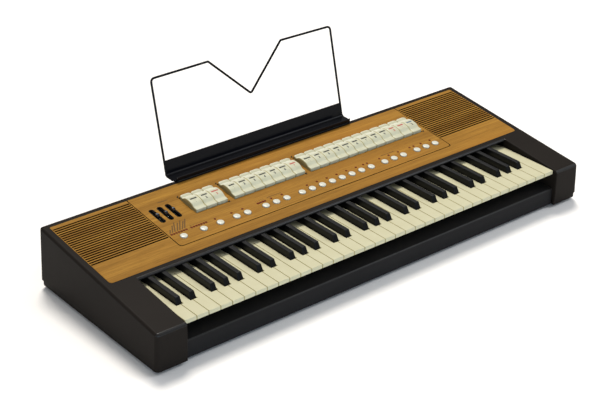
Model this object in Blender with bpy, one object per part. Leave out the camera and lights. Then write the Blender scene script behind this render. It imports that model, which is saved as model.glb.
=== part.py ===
"""Table-top electronic organ: 61 keys, stop tabs, push buttons, slide controls
and a lift-off music rest, as an assembly of separate pieces.

Axes: +X to the right along the keys (bass to treble), +Y to the rear, +Z up.
Origin: middle of the footprint, on the surface that the feet stand on.
"""

import math

import bmesh
import bpy
from mathutils import Matrix, Vector

for old in list(bpy.data.objects):
    bpy.data.objects.remove(old, do_unlink=True)

MM = 0.001

# ---------------------------------------------------------------- dimensions
# Case (mm). "u" is measured to the rear from the front face of the cheeks and
# "z" upwards from the underside of the case.
CASE_W = 972.1          # at the underside
CASE_D = 349.0
FRONT_H = 70.8          # top of the cheeks at the front
REAR_H = 110.9          # top of the case at the rear
DRAFT = 0.0437          # inward lean of the outer side walls
WALL = 3.0
EDGE_R = 5.0            # rounding of the outer edges
FRONT_R, REAR_R = 7.5, 5.6      # rounding of the upright corners
FOOT_H = 6.0
TRAY_H = 9.4            # visible height of the bottom pan
TRAY_INSET = 1.2
OVERALL_D = 410.60       # cheek front to the rear of the music rest

# Keys
PITCH = 23.5            # white key pitch
KEY_GAP = 0.9
WHITES = 36
KEY_U = 9.4             # front edge of the white keys
KEY_TOP = 71.0
KEY_T = 7.5             # height of the key's front lip
WHITE_END = 138.5       # rear end of the visible white cover
SHARP_U = 54.4          # front foot of the black keys
SHARP_H = 11.5          # black key above the white ones
SHARP_W = 11.2
SHARP_TOP_W = 9.4
SHARP_RUN = 5.2         # slope at the front of a black key
NOTCH_GAP = 0.9
PIVOT_U = 218.7
PIVOT_Z = 62.0
SHARP_CENTRES = {"c_sharp": 0.918, "d_sharp": 2.101, "f_sharp": 3.854,
                 "g_sharp": 4.998, "a_sharp": 6.168}   # in white pitches
OPEN_HALF = 424.0       # half width of the key opening
NOSE_U = 138.0          # front face of the nose over the keys
NOSE_BOTTOM = 83.3

# Wood panels, in slope coordinates: "s" runs up the slope from the cheeks'
# front edge and "h" stands square to it, 0 at the surface.
WOOD_HALF = 468.3
WOOD_S0, WOOD_S1 = 151.7, 339.7
WOOD_T = 3.2
CTRL_X0, CTRL_X1 = -311.5, 316.5
CTRL_S0 = 177.8
SEAM = 0.8
SLOT_COUNT = 21
SLOT_PITCH = 5.95
SLOT_W = 3.1
SLOT_S0 = 210.7

# Controls
TAB_PITCH = 23.15
TAB_GAP = 0.95
TAB_S0, TAB_S1 = 246.0, 299.5
TAB_PIVOT = (292.1, -6.0)
TAB_BANKS = ((-230.2, 3), (-146.9, 7), (26.9, 12))      # left edge, count
BUTTON_S = 199.2
BUTTON_R = 6.6
BUTTON_TOP = 2.5
BUTTON_STEP = 23.5
BUTTON_GROUPS = ((-290.2, 1), (-248.4, 1), (-213.1, 1), (-177.9, 2),
                 (-113.6, 3), (-31.4, 8), (166.8, 3), (248.5, 3))
SLIDER_X = (-294.6, -277.7, -260.8)
SLIDER_S = (271.6, 270.6, 273.0)
SLIDER_SLOT = (250.2, 293.8)
SLIDER_SLOT_W = 7.6

# Music rest
REST_HALF = 209.0
PLATE_HALF = 203.3
REST_SHEET = 2.2
REST_X = -0.8           # middle of the rest, a little left of the case's
REST_LEAN = math.radians(13.2)
WIRE_R = 2.1
WIRE_HALF = 206.6       # legs, at the shelf
WIRE_TOP_HALF = 205.8   # legs, at the top corners
WIRE_TOP = 151.5        # top bars above the plate's top edge, along the lean
PEAK_HALF = 83.5
NOTCH_X = 1.6           # middle of the V
NOTCH_Z = 72.0          # bottom of the V
TONGUE_X = 150.0

# ---------------------------------------------------------------- frames
Y0 = -OVERALL_D / 2
Z0 = FOOT_H
TAN = (REAR_H - FRONT_H) / CASE_D
SLOPE = math.atan(TAN)
COS, SIN = math.cos(SLOPE), math.sin(SLOPE)


def case(x, u, z):
    """Case coordinates (mm) to world metres."""
    return Vector((x, Y0 + u, Z0 + z)) * MM


def top_z(u):
    return FRONT_H + TAN * u


def slope(x, s, h):
    """Slope coordinates (mm) to world metres."""
    return case(x, s * COS - h * SIN, FRONT_H + s * SIN + h * COS)


# ---------------------------------------------------------------- materials
def material(name, colour, roughness, metallic=0.0):
    mat = bpy.data.materials.new(name)
    mat.use_nodes = True
    shader = mat.node_tree.nodes["Principled BSDF"]
    shader.inputs["Base Color"].default_value = (*colour, 1.0)
    shader.inputs["Roughness"].default_value = roughness
    shader.inputs["Metallic"].default_value = metallic
    mat.diffuse_color = (*colour, 1.0)
    return mat


LOOKS = {
    "case": ((0.028, 0.026, 0.025), 0.45, 0.0),
    "rail": ((0.024, 0.024, 0.027), 0.42, 0.0),
    "wood": ((0.47, 0.23, 0.055), 0.45, 0.0),
    "ivory": ((0.74, 0.70, 0.50), 0.35, 0.0),
    "ebony": ((0.015, 0.015, 0.015), 0.38, 0.0),
    "tab": ((0.76, 0.74, 0.58), 0.35, 0.0),
    "button": ((0.80, 0.80, 0.74), 0.30, 0.0),
    "knob": ((0.012, 0.012, 0.012), 0.40, 0.0),
    "steel": ((0.50, 0.51, 0.52), 0.40, 0.9),
    "black_steel": ((0.018, 0.018, 0.020), 0.35, 0.3),
    "board": ((0.03, 0.16, 0.07), 0.45, 0.0),
    "rubber": ((0.02, 0.02, 0.02), 0.85, 0.0),
    "speaker": ((0.03, 0.03, 0.03), 0.60, 0.0),
    "core": ((0.30, 0.30, 0.31), 0.50, 0.7),
}


# ---------------------------------------------------------------- mesh tools
def loft(sections):
    """A closed bmesh through sections of equal point counts, capped."""
    bm = bmesh.new()
    rings = [[bm.verts.new(p) for p in section] for section in sections]
    count = len(rings[0])
    for a, b in zip(rings, rings[1:]):
        for i in range(count):
            j = (i + 1) % count
            bm.faces.new((a[i], a[j], b[j], b[i]))
    bm.faces.new(list(reversed(rings[0])))
    bm.faces.new(rings[-1])
    bmesh.ops.recalc_face_normals(bm, faces=bm.faces)
    return bm


def extrude_x(profile, x0, x1):
    """A (u, z) profile in case coordinates, carried from x0 to x1."""
    return loft([[case(x, u, z) for u, z in profile] for x in (x0, x1)])


def extrude_z(outline, z0, z1):
    """An (x, u) outline in case coordinates, carried from z0 to z1."""
    return loft([[case(x, u, z) for x, u in outline] for z in (z0, z1)])


def extrude_h(outline, h0, h1):
    """An (x, s) outline on the slope, carried from h0 to h1."""
    return loft([[slope(x, s, h) for x, s in outline] for h in (h0, h1)])


def extrude_slope_x(profile, x0, x1):
    """An (s, h) profile on the slope, carried from x0 to x1."""
    return loft([[slope(x, s, h) for s, h in profile] for x in (x0, x1)])


def box(x0, x1, u0, u1, z0, z1):
    return extrude_z([(x0, u0), (x1, u0), (x1, u1), (x0, u1)], z0, z1)


def wedge(x0, x1, u0, u1, z0, depth, draft0=0.0, draft1=0.0):
    """A block whose top lies "depth" under the sloping top of the case and
    whose two sides lean in by draft0 and draft1."""
    rows = []
    for z_of in (lambda u: z0, lambda u: top_z(u) - depth):
        ring = []
        for x, u, lean in ((x0, u0, draft0), (x1, u0, -draft1),
                           (x1, u1, -draft1), (x0, u1, draft0)):
            z = z_of(u)
            ring.append(case(x + lean * z, u, z))
        rows.append(ring)
    return loft(rows)


def rounded(x0, x1, y0, y1, front, rear, steps=4):
    """A rectangle with its front and rear corners rounded."""
    points = []
    for cx, cy, r, start in ((x1 - front, y0 + front, front, -90),
                             (x1 - rear, y1 - rear, rear, 0),
                             (x0 + rear, y1 - rear, rear, 90),
                             (x0 + front, y0 + front, front, 180)):
        if r <= 0:
            points.append((cx, cy))
            continue
        for k in range(steps + 1):
            a = math.radians(start + 90 * k / steps)
            points.append((cx + r * math.cos(a), cy + r * math.sin(a)))
    return points


def circle(cx, cy, r, count):
    return [(cx + r * math.cos(2 * math.pi * k / count),
             cy + r * math.sin(2 * math.pi * k / count)) for k in range(count)]


def merged(*parts):
    """Several bmeshes in one, still as separate shells."""
    out = bmesh.new()
    for part in parts:
        mesh = bpy.data.meshes.new("join")
        part.to_mesh(mesh)
        part.free()
        out.from_mesh(mesh)
        bpy.data.meshes.remove(mesh)
    return out


def add(name, bm, look, origin=None, parent=None, turn=0.0):
    """Makes the object. Its origin goes to "origin", a world point, and its
    own axes are turned about X by "turn"."""
    place = Matrix.Translation(origin or Vector((0, 0, 0))) @ Matrix.Rotation(turn, 4, "X")
    bm.transform(place.inverted())
    mesh = bpy.data.meshes.new(name)
    bm.to_mesh(mesh)
    bm.free()
    obj = bpy.data.objects.new(name, mesh)
    bpy.context.scene.collection.objects.link(obj)
    obj.rotation_euler = (turn, 0.0, 0.0)
    obj.location = origin or Vector((0, 0, 0))
    if look in LOOKS:
        mat = bpy.data.materials.get(name) or material(name, *LOOKS[look])
        mesh.materials.append(mat)
    if parent:
        obj.parent = parent
        obj.matrix_parent_inverse = parent.matrix_world.inverted()
    return obj


def helper(name, bm):
    obj = add(name, bm, None)
    obj.hide_render = True
    obj.display_type = "WIRE"
    return obj


def boolean(obj, other, operation="DIFFERENCE"):
    mod = obj.modifiers.new(operation.title(), "BOOLEAN")
    mod.operation = operation
    mod.solver = "EXACT"
    mod.object = other
    return obj


def cut(obj, bm, name):
    return boolean(obj, helper(name, bm))


def join(obj, bm, name):
    return boolean(obj, helper(name, bm), "UNION")


def smooth(obj, angle=35):
    obj.data.shade_smooth()
    obj.data.set_sharp_from_angle(angle=math.radians(angle))
    return obj


# ---------------------------------------------------------------- housing
def side_x(z):
    return CASE_W / 2 - DRAFT * z


def upper_housing():
    low = TRAY_H + 0.3
    bm = wedge(-CASE_W / 2, CASE_W / 2, 0, CASE_D, low, 0, DRAFT, DRAFT)
    bm.edges.ensure_lookup_table()
    for radius, end in ((FRONT_R, -1), (REAR_R, 1)):
        uprights = [e for e in bm.edges if e.verts[0].co.y * end > 0 and e.verts[1].co.y * end > 0
                    and abs(e.verts[0].co.z - e.verts[1].co.z) > 55 * MM]
        bmesh.ops.bevel(bm, geom=uprights, offset=radius * MM, segments=4,
                        profile=0.5, affect="EDGES")
    top_edges = [e for e in bm.edges if all(v.co.z > (Z0 + low + 1) * MM for v in e.verts)]
    bmesh.ops.bevel(bm, geom=top_edges, offset=EDGE_R * MM, segments=3,
                    profile=0.5, affect="EDGES")
    obj = add("upper_housing", bm, "case")
    # Pockets behind the rear wall that take the music rest's tongues.
    for side, name in ((-1, "left"), (1, "right")):
        x = side * TONGUE_X
        join(obj, box(x - 17, x + 17, CASE_D - WALL - 1.0, CASE_D + 7.3, 66, 104),
             f"rest_pocket_{name}")
    # The well that the keys stand in, with the nose's rounded edge.
    z = top_z(NOSE_U)
    arc = [(NOSE_U + EDGE_R - EDGE_R * math.cos(math.radians(a)),
            z - EDGE_R + (EDGE_R + 0.4) * math.sin(math.radians(a)))
           for a in (0, 22.5, 45, 67.5, 90)]
    well = [(-20, -20), (NOSE_U, -20)] + arc + [(NOSE_U + EDGE_R, z + 30), (-20, z + 30)]
    cut(obj, extrude_x(well, -OPEN_HALF, OPEN_HALF), "cut_key_well")
    # Hollows: both cheeks, then the whole rear part.
    inner = OPEN_HALF + WALL
    shell = CASE_W / 2 - WALL
    cut(obj, wedge(-shell, -inner, WALL, 150.5, -10, WALL, DRAFT, 0), "cut_left_cheek")
    cut(obj, wedge(inner, shell, WALL, 150.5, -10, WALL, 0, DRAFT), "cut_right_cheek")
    cut(obj, wedge(-inner - 1, inner + 1, NOSE_U + WALL, 150.5, -10, WALL + 0.2), "cut_nose")
    cut(obj, box(-OPEN_HALF, OPEN_HALF, NOSE_U - 8, NOSE_U + WALL + 1, -10, NOSE_BOTTOM),
        "cut_under_nose")
    cut(obj, wedge(-shell, shell, 148.5, CASE_D - WALL, -10, 6.0, DRAFT, DRAFT),
        "cut_rear_hollow")
    # Recess and window for the wood panels.
    cut(obj, extrude_h(rounded(-WOOD_HALF - 0.3, WOOD_HALF + 0.3, WOOD_S0 - 0.3,
                               WOOD_S1 + 0.3, 6.3, 3.3), -WOOD_T - 0.3, 15),
        "cut_wood_recess")
    cut(obj, extrude_h(rounded(-WOOD_HALF + 6, WOOD_HALF - 6, WOOD_S0 + 6, WOOD_S1 - 6,
                               4, 3), -20, 5), "cut_wood_window")
    # Window for the sockets at the rear.
    cut(obj, box(-280, 280, CASE_D - WALL - 5, CASE_D + 5, 18, 58), "cut_rear_window")
    for side, name in ((-1, "left"), (1, "right")):
        x = side * TONGUE_X
        cut(obj, box(x - 12.6, x + 12.6, CASE_D + 0.6, CASE_D + 4.2, 50, 120), f"cut_pocket_{name}")
    return smooth(obj)


def base_tray():
    def outline(inset, front):
        half = side_x(TRAY_H) - inset
        notch = OPEN_HALF + 0.6
        return [(-half, inset), (-notch, inset), (-notch, front), (notch, front),
                (notch, inset), (half, inset), (half, CASE_D - inset),
                (-half, CASE_D - inset)]
    obj = add("base_tray", extrude_z(outline(TRAY_INSET, 12.0), 0, TRAY_H), "case")
    cut(obj, extrude_z(outline(TRAY_INSET + 4.0, 16.0), 2.5, 30.0), "cut_tray")
    return obj


def front_rail():
    profile = [(7.9, 0.0), (7.9, 31.8), (8.4, 33.1), (9.7, 33.8), (44.0, 35.5),
               (44.0, 32.5), (11.3, 30.5), (11.3, 0.0)]
    return add("front_rail", extrude_x(profile, -OPEN_HALF + 0.4, OPEN_HALF - 0.4), "rail")


def speaker_panel():
    outline = rounded(-WOOD_HALF, WOOD_HALF, WOOD_S0, WOOD_S1, 6.0, 3.0)
    obj = add("speaker_panel", extrude_h(outline, -WOOD_T, 0), "wood")
    notch = rounded(CTRL_X0 - SEAM, CTRL_X1 + SEAM, CTRL_S0 - SEAM, WOOD_S1 + 20,
                    6.5, 0)
    cut(obj, extrude_h(notch, -10, 10), "cut_control_notch")
    slots = []
    for x0, x1 in ((-WOOD_HALF + 1.2, CTRL_X0 - SEAM - 1.2),
                   (CTRL_X1 + SEAM + 1.2, WOOD_HALF - 1.2)):
        for k in range(SLOT_COUNT):
            s = SLOT_S0 + SLOT_PITCH * k
            slots.append(extrude_h([(x0, s - SLOT_W / 2), (x1, s - SLOT_W / 2),
                                    (x1, s + SLOT_W / 2), (x0, s + SLOT_W / 2)], -10, 10))
    cut(obj, merged(*slots), "cut_speaker_slots")
    return obj


def button_places():
    for group, (x, count) in enumerate(BUTTON_GROUPS):
        yield group, [x + BUTTON_STEP * k for k in range(count)]


def control_panel():
    outline = rounded(CTRL_X0, CTRL_X1, CTRL_S0, WOOD_S1, 6.0, 0)
    obj = add("control_panel", extrude_h(outline, -WOOD_T, 0), "wood")
    tools = []
    for x, count in TAB_BANKS:
        tools.append(extrude_h(rounded(x - 0.7, x + TAB_PITCH * count - TAB_GAP + 0.7,
                                       TAB_S0 - 1.2, TAB_S1 + 0.8, 0, 0), -10, 10))
    for _, places in button_places():
        for x in places:
            tools.append(extrude_h(circle(x, BUTTON_S, BUTTON_R + 0.5, 12), -10, 10))
    for x in SLIDER_X:
        tools.append(extrude_h(rounded(x - SLIDER_SLOT_W / 2, x + SLIDER_SLOT_W / 2,
                                       *SLIDER_SLOT, SLIDER_SLOT_W / 2 - 0.01,
                                       SLIDER_SLOT_W / 2 - 0.01, 3), -10, 10))
    cut(obj, merged(*tools), "cut_controls")
    return obj


# ---------------------------------------------------------------- keys
WHITE_NAMES = ("c", "d", "e", "f", "g", "a", "b")
SHARP_NAMES = ("c_sharp", "d_sharp", "f_sharp", "g_sharp", "a_sharp")
LEFT_END = -WHITES * PITCH / 2


def white_outline(index, octave_x, top_c=False):
    """Plan outline of a white key, with a notch for each black neighbour."""
    x0 = octave_x + index * PITCH + KEY_GAP / 2
    x1 = octave_x + (index + 1) * PITCH - KEY_GAP / 2
    left, right = x0, x1
    if not top_c:
        for centre in SHARP_CENTRES.values():
            c = octave_x + centre * PITCH
            half = SHARP_W / 2 + NOTCH_GAP
            if x0 - PITCH / 2 < c < x0 + PITCH * 0.35:
                left = c + half
            if x1 - PITCH * 0.35 < c < x1 + PITCH / 2:
                right = c - half
    neck = SHARP_U - 1.0
    points = [(x0, KEY_U), (x1, KEY_U)]
    if right != x1:
        points += [(x1, neck), (right, neck)]
    points += [(right, 214.0), (left, 214.0)]
    if left != x0:
        points += [(left, neck), (x0, neck)]
    return points, left, right


def white_key(index, octave_x, top_c=False):
    """Plate, lowered behind the visible cover, and the pivot lug under it."""
    points, left, right = white_outline(index, octave_x, top_c)
    plate = extrude_z(points, KEY_TOP - KEY_T, KEY_TOP)
    lug = box(left + 0.3, right - 0.3, 205, 213.4, 57, KEY_TOP - KEY_T + 2)
    step = box(left - 5, right + 5, WHITE_END, 240, KEY_TOP - 1.6, KEY_TOP + 5)
    return plate, lug, step


def sharp_key(centre, octave_x):
    """Black key: sloped front, tapered sides, lowered under the nose."""
    c = octave_x + centre * PITCH
    base, top = SHARP_W / 2, SHARP_TOP_W / 2
    low = 66.0
    high = KEY_TOP + SHARP_H
    sections = []
    for u, z, half in ((SHARP_U, KEY_TOP + 0.8, base - 0.1),
                       (SHARP_U + SHARP_RUN, high, top),
                       (146.0, high, top),
                       (150.0, KEY_TOP - 0.5, base - 0.1),
                       (226.0, KEY_TOP - 0.5, base - 0.1)):
        sections.append([case(c - base, u, low), case(c + base, u, low),
                         case(c + half, u, z), case(c - half, u, z)])
    return loft(sections)


def key_pivot(x):
    return case(x, PIVOT_U, PIVOT_Z)


def octave_whites(number, octave_x):
    parts = [white_key(i, octave_x) for i in range(7)]
    name = f"white_keys_octave_{number}"
    obj = add(name, parts[0][0], "ivory", key_pivot(octave_x + 3.5 * PITCH))
    for (plate, _, _), note in zip(parts[1:], WHITE_NAMES[1:]):
        join(obj, plate, f"{name}_{note}")
    join(obj, box(octave_x + 0.8, octave_x + 7 * PITCH - 0.8, 205, 213.4, 57,
                  KEY_TOP - KEY_T + 0.7), f"{name}_bar")
    cut(obj, box(octave_x - 5, octave_x + 7 * PITCH + 5, WHITE_END, 240,
                 KEY_TOP - 1.6, KEY_TOP + 5), f"{name}_step")
    for part in parts:
        part[1].free()
        part[2].free()
    return obj


def octave_sharps(number, octave_x):
    name = f"black_keys_octave_{number}"
    keys = [sharp_key(c, octave_x) for c in SHARP_CENTRES.values()]
    obj = add(name, keys[0], "ebony", key_pivot(octave_x + 3.5 * PITCH))
    for key, note in zip(keys[1:], SHARP_NAMES[1:]):
        join(obj, key, f"{name}_{note}")
    x0 = octave_x + SHARP_CENTRES["c_sharp"] * PITCH - SHARP_W / 2 + 0.4
    x1 = octave_x + SHARP_CENTRES["a_sharp"] * PITCH + SHARP_W / 2 - 0.4
    join(obj, box(x0, x1, 217.2, 225.6, 60, KEY_TOP - 1.6), f"{name}_bar")
    return obj


def single_white(name, index, octave_x, top_c=False):
    plate, lug, step = white_key(index, octave_x, top_c)
    obj = add(name, plate, "ivory", key_pivot(octave_x + (index + 0.5) * PITCH))
    join(obj, lug, f"{name}_lug")
    cut(obj, step, f"{name}_step")
    return obj


def keys():
    for octave in range(5):
        octave_x = LEFT_END + octave * 7 * PITCH
        if octave == 2:
            for i, note in enumerate(WHITE_NAMES):
                single_white(f"key_{note}", i, octave_x)
            for note in SHARP_NAMES:
                centre = SHARP_CENTRES[note]
                add(f"key_{note}", sharp_key(centre, octave_x), "ebony",
                    key_pivot(octave_x + centre * PITCH))
        else:
            octave_whites(octave + 1, octave_x)
            octave_sharps(octave + 1, octave_x)
    single_white("key_top_c", 0, LEFT_END + 35 * PITCH, top_c=True)


# ---------------------------------------------------------------- controls
TAB_PROFILE = ((246.3, -7.0), (246.0, 4.6), (246.8, 5.4), (254.6, 5.5), (257.6, 7.0),
               (261.4, 9.3), (266.0, 10.4), (274.1, 10.9), (280.0, 10.3), (284.9, 8.1),
               (289.9, 5.0), (293.0, 5.7), (295.5, 6.3), (298.6, 5.4), (299.3, -2.0),
               (296.1, -8.0), (288.1, -8.0), (285.1, -6.0))


def stop_tabs():
    number = 0
    for bank, (x, count) in enumerate(TAB_BANKS):
        width = TAB_PITCH * count - TAB_GAP
        shapes = []
        for k in range(count):
            left = x + TAB_PITCH * k
            shapes.append(extrude_slope_x(TAB_PROFILE, left, left + TAB_PITCH - TAB_GAP))
        if bank == 0:
            for k, shape in enumerate(shapes):
                number += 1
                at = slope(x + TAB_PITCH * (k + 0.5) - TAB_GAP / 2, *TAB_PIVOT)
                add(f"stop_tab_{number}", shape, "tab", at, turn=SLOPE)
            continue
        name = f"stop_tab_bank_{bank + 1}"
        obj = add(name, shapes[0], "tab", slope(x + width / 2, *TAB_PIVOT), turn=SLOPE)
        for k, shape in enumerate(shapes[1:]):
            join(obj, shape, f"{name}_{k + 2}")
        bar = [(286.6, -7.6), (286.6, -4.2), (297.1, -4.2), (296.3, -7.6)]
        join(obj, extrude_slope_x(bar, x + 0.4, x + width - 0.4), f"{name}_bar")


def push_buttons():
    for group, places in button_places():
        name = f"button_{group + 1}" if len(places) == 1 else f"button_group_{group + 1}"
        middle = sum(places) / len(places)
        caps = []
        for x in places:
            rings = []
            for h, r in ((-6.0, BUTTON_R), (BUTTON_TOP - 0.9, BUTTON_R),
                         (BUTTON_TOP, BUTTON_R - 1.0)):
                rings.append([slope(px, ps, h) for px, ps in circle(x, BUTTON_S, r, 12)])
            caps.append(loft(rings))
        obj = add(name, caps[0], "button", slope(middle, BUTTON_S, 0), turn=SLOPE)
        for k, shape in enumerate(caps[1:]):
            join(obj, shape, f"{name}_{k + 2}")
        if len(places) > 1:
            bar = rounded(places[0] - 3, places[-1] + 3, BUTTON_S - 2.5, BUTTON_S + 2.5, 0, 0)
            join(obj, extrude_h(bar, -8.5, -5.0), f"{name}_bar")
        smooth(obj)


def slide_controls():
    for k, (x, s) in enumerate(zip(SLIDER_X, SLIDER_S)):
        cap = extrude_slope_x([(s - 4.3, 1.0), (s - 3.6, 4.2), (s - 2.0, 5.6),
                               (s + 2.0, 5.6), (s + 3.6, 4.2), (s + 4.3, 1.0)],
                              x - 2.8, x + 2.8)
        name = f"slider_{k + 1}"
        obj = add(name, cap, "knob", slope(x, s, 0), turn=SLOPE)
        join(obj, extrude_h(rounded(x - 1.6, x + 1.6, s - 3.5, s + 3.5, 0, 0), -9, 3),
             f"{name}_stem")
        join(obj, extrude_h(rounded(x - 4.5, x + 4.5, s - 6, s + 6, 0, 0), -11.5, -8.5),
             f"{name}_base")


# ---------------------------------------------------------------- music rest
def rest_point(x, up, back=0.0):
    """A point on the leaning plane of the rest: "up" along it from the
    plate's top edge and "back" square to it, to the rear."""
    u = 372.6 + up * math.sin(REST_LEAN) + back * math.cos(REST_LEAN)
    z = 140.7 + up * math.cos(REST_LEAN) - back * math.sin(REST_LEAN)
    return case(x, u, z)


def arc_corner(a, b, c, radius, steps):
    """Points that round the corner b of the path a-b-c."""
    p, q, r = Vector(a), Vector(b), Vector(c)
    d1, d2 = (p - q).normalized(), (r - q).normalized()
    half = d1.angle(d2) / 2
    reach = radius / math.tan(half)
    centre = q + (d1 + d2).normalized() * (radius / math.sin(half))
    start, end = q + d1 * reach - centre, q + d2 * reach - centre
    out = []
    for k in range(steps + 1):
        t = k / steps
        v = start.lerp(end, t)
        out.append(tuple(centre + v.normalized() * radius))
    return out


def thick_path(path, t):
    """The closed outline of a sheet of thickness t whose face is the path."""
    other = []
    for i, (u, z) in enumerate(path):
        a = Vector(path[max(i - 1, 0)])
        b = Vector((u, z))
        c = Vector(path[min(i + 1, len(path) - 1)])
        n1 = Vector((-(b - a).y, (b - a).x)) if i else None
        n2 = Vector((-(c - b).y, (c - b).x)) if i < len(path) - 1 else None
        n1 = n1.normalized() if n1 else n2.normalized()
        n2 = n2.normalized() if n2 else n1
        n = (n1 + n2).normalized()
        other.append(tuple(b + n * (t / max(0.5, n.dot(n1)))))
    return path + other[::-1]


def music_rest():
    lip, front, bend = (339.9, 120.4), (341.3, 113.7), (366.4, 114.6)
    top = (372.6, 140.7)
    path = [lip] + arc_corner(lip, front, bend, 2.0, 2) \
        + arc_corner(front, bend, top, 5.0, 3) + [top]
    ledge = add("music_rest_ledge", extrude_x(thick_path(path, -REST_SHEET),
                                              REST_X - REST_HALF, REST_X + REST_HALF),
                "black_steel",
                case(0, CASE_D + 2.3, 108))
    for side, name in ((-1, "left"), (1, "right")):
        x = side * TONGUE_X
        join(ledge, box(x - 12, x + 12, CASE_D + 1.1, CASE_D + 3.7, 70, 113.0), f"tongue_{name}")

    # The plate ends inside the two legs of the wire frame, which run down its
    # edges to the bend, and the front corners of the shelf are cut off.
    for side, name in ((-1, "left"), (1, "right")):
        a, b = sorted((REST_X + side * PLATE_HALF, REST_X + side * (REST_HALF + 10)))
        cut(ledge, box(a, b, 358.0, 400.0, 116.9, 160.0), f"cut_plate_{name}")
        edge = REST_X + side * (REST_HALF + 1)
        cut(ledge, extrude_z([(edge, 330.0), (edge, 349.0), (edge - side * 7.0, 340.0),
                              (edge - side * 8.5, 330.0)], 100, 130),
            f"cut_corner_{name}")

    # Wire frame, one open bent rod with rounded bends.
    back = REST_SHEET / 2
    foot = -23.6
    corners = [((REST_X - WIRE_TOP_HALF, WIRE_TOP), 7.0),
               ((NOTCH_X - PEAK_HALF, WIRE_TOP + 1.3), 3.0), ((NOTCH_X, NOTCH_Z), 4.5),
               ((NOTCH_X + PEAK_HALF, WIRE_TOP + 1.3), 3.0),
               ((REST_X + WIRE_TOP_HALF, WIRE_TOP), 7.0)]
    route = [(REST_X - WIRE_HALF, foot)] + [c for c, _ in corners] + [(REST_X + WIRE_HALF, foot)]
    flat = [route[0]]
    for i, (_, radius) in enumerate(corners):
        flat += arc_corner(route[i], route[i + 1], route[i + 2], radius, 4)
    flat.append(route[-1])
    curve = bpy.data.curves.new("music_rest_wire", "CURVE")
    curve.dimensions = "3D"
    curve.bevel_depth = WIRE_R * MM
    curve.bevel_resolution = 2
    curve.use_fill_caps = True
    spline = curve.splines.new("POLY")
    spline.points.add(len(flat) - 1)
    origin = case(0, CASE_D + 2.3, 108)
    for point, (x, up) in zip(spline.points, flat):
        point.co = (*(rest_point(x, up, back) - origin), 1.0)
    wire = bpy.data.objects.new("music_rest_wire", curve)
    bpy.context.scene.collection.objects.link(wire)
    wire.location = origin
    curve.materials.append(material("music_rest_wire", *LOOKS["black_steel"]))
    wire.parent = ledge
    wire.matrix_parent_inverse = Matrix.Translation(-origin)


# ---------------------------------------------------------------- inside
def key_chassis():
    profile = [(48, 3.0), (242, 3.0), (242, 5.2), (222.0, 5.2), (222.0, 53.6),
               (227.0, 53.6), (227.0, 55.6), (214.6, 55.6), (214.6, 53.6),
               (219.8, 53.6), (219.8, 5.2), (123.0, 5.2), (123.0, 39.6), (120.8, 39.6),
               (120.8, 5.2), (50.2, 5.2), (50.2, 47.0), (64.0, 47.0), (64.0, 49.0),
               (48, 49.0)]
    return add("key_chassis", extrude_x(profile, -421, 421), "black_steel")


def boards():
    add("key_contact_board", box(-418, 418, 96, 150, 40.0, 41.6), "board")
    add("panel_board", extrude_h(rounded(-300, 306, 186, 300, 0, 0), -15.0, -13.4), "board")
    main = add("main_board", box(-230, 90, 248, 326, 9.0, 10.6), "board")
    for k, (x, u, w, d, h) in enumerate(((-190, 272, 34, 34, 4), (-120, 268, 28, 28, 3.5),
                                         (-60, 292, 40, 16, 5), (10, 270, 22, 44, 6),
                                         (60, 300, 18, 18, 14))):
        join(main, box(x - w / 2, x + w / 2, u - d / 2, u + d / 2, 10.0, 10.6 + h),
             f"main_chip_{k}")
    amp = add("amplifier_board", box(110, 230, 248, 322, 9.0, 10.6), "board")
    fins = [box(120, 220, 300, 303, 10.0, 44)]
    for k in range(6):
        fins.append(box(128 + 16 * k, 131 + 16 * k, 286, 301.5, 12.0, 44))
    for k, shape in enumerate(fins):
        join(amp, shape, f"heat_sink_{k}")
    join(amp, extrude_z(circle(140, 268, 9, 10), 10.0, 36), "reservoir")


def transformer():
    obj = add("transformer", box(292, 358, 262, 316, 3.0, 52.0), "core")
    join(obj, box(283, 367, 270, 308, 3.0, 9.0), "transformer_foot")
    join(obj, box(301, 349, 254, 324, 12.0, 44.0), "transformer_coil")
    return obj


def loudspeaker(name, x):
    """A turned body whose axis stands square to the slope."""
    s = SLOT_S0 + SLOT_PITCH * (SLOT_COUNT - 1) / 2
    profile = [(4.0, -26.0), (13.0, -27.0), (43.0, -11.5), (46.0, -8.8), (51.0, -8.8),
               (51.0, -11.6), (47.0, -12.4), (32.0, -34.0), (32.0, -50.0), (4.0, -50.0)]
    count = 20
    bm = bmesh.new()
    rings = []
    for k in range(count):
        a = 2 * math.pi * k / count
        rings.append([bm.verts.new(slope(x + r * math.cos(a), s + r * math.sin(a), h))
                      for r, h in profile])
    for k in range(count):
        a, b = rings[k], rings[(k + 1) % count]
        for i in range(len(profile) - 1):
            bm.faces.new((a[i], a[i + 1], b[i + 1], b[i]))
    bm.faces.new([ring[0] for ring in rings])
    bm.faces.new([ring[-1] for ring in reversed(rings)])
    bmesh.ops.recalc_face_normals(bm, faces=bm.faces)
    return smooth(add(name, bm, "speaker"))


SOCKET_X = (-120.0, -80.0, -40.0, 0.0)
SOCKET_Z = 38.0
SOCKET_R = 4.6
INLET = (172.0, 204.0, 27.0, 49.0)
SWITCH_X = 240.0
SWITCH_U = CASE_D - 8.3
SWITCH_Z = 38.0


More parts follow.
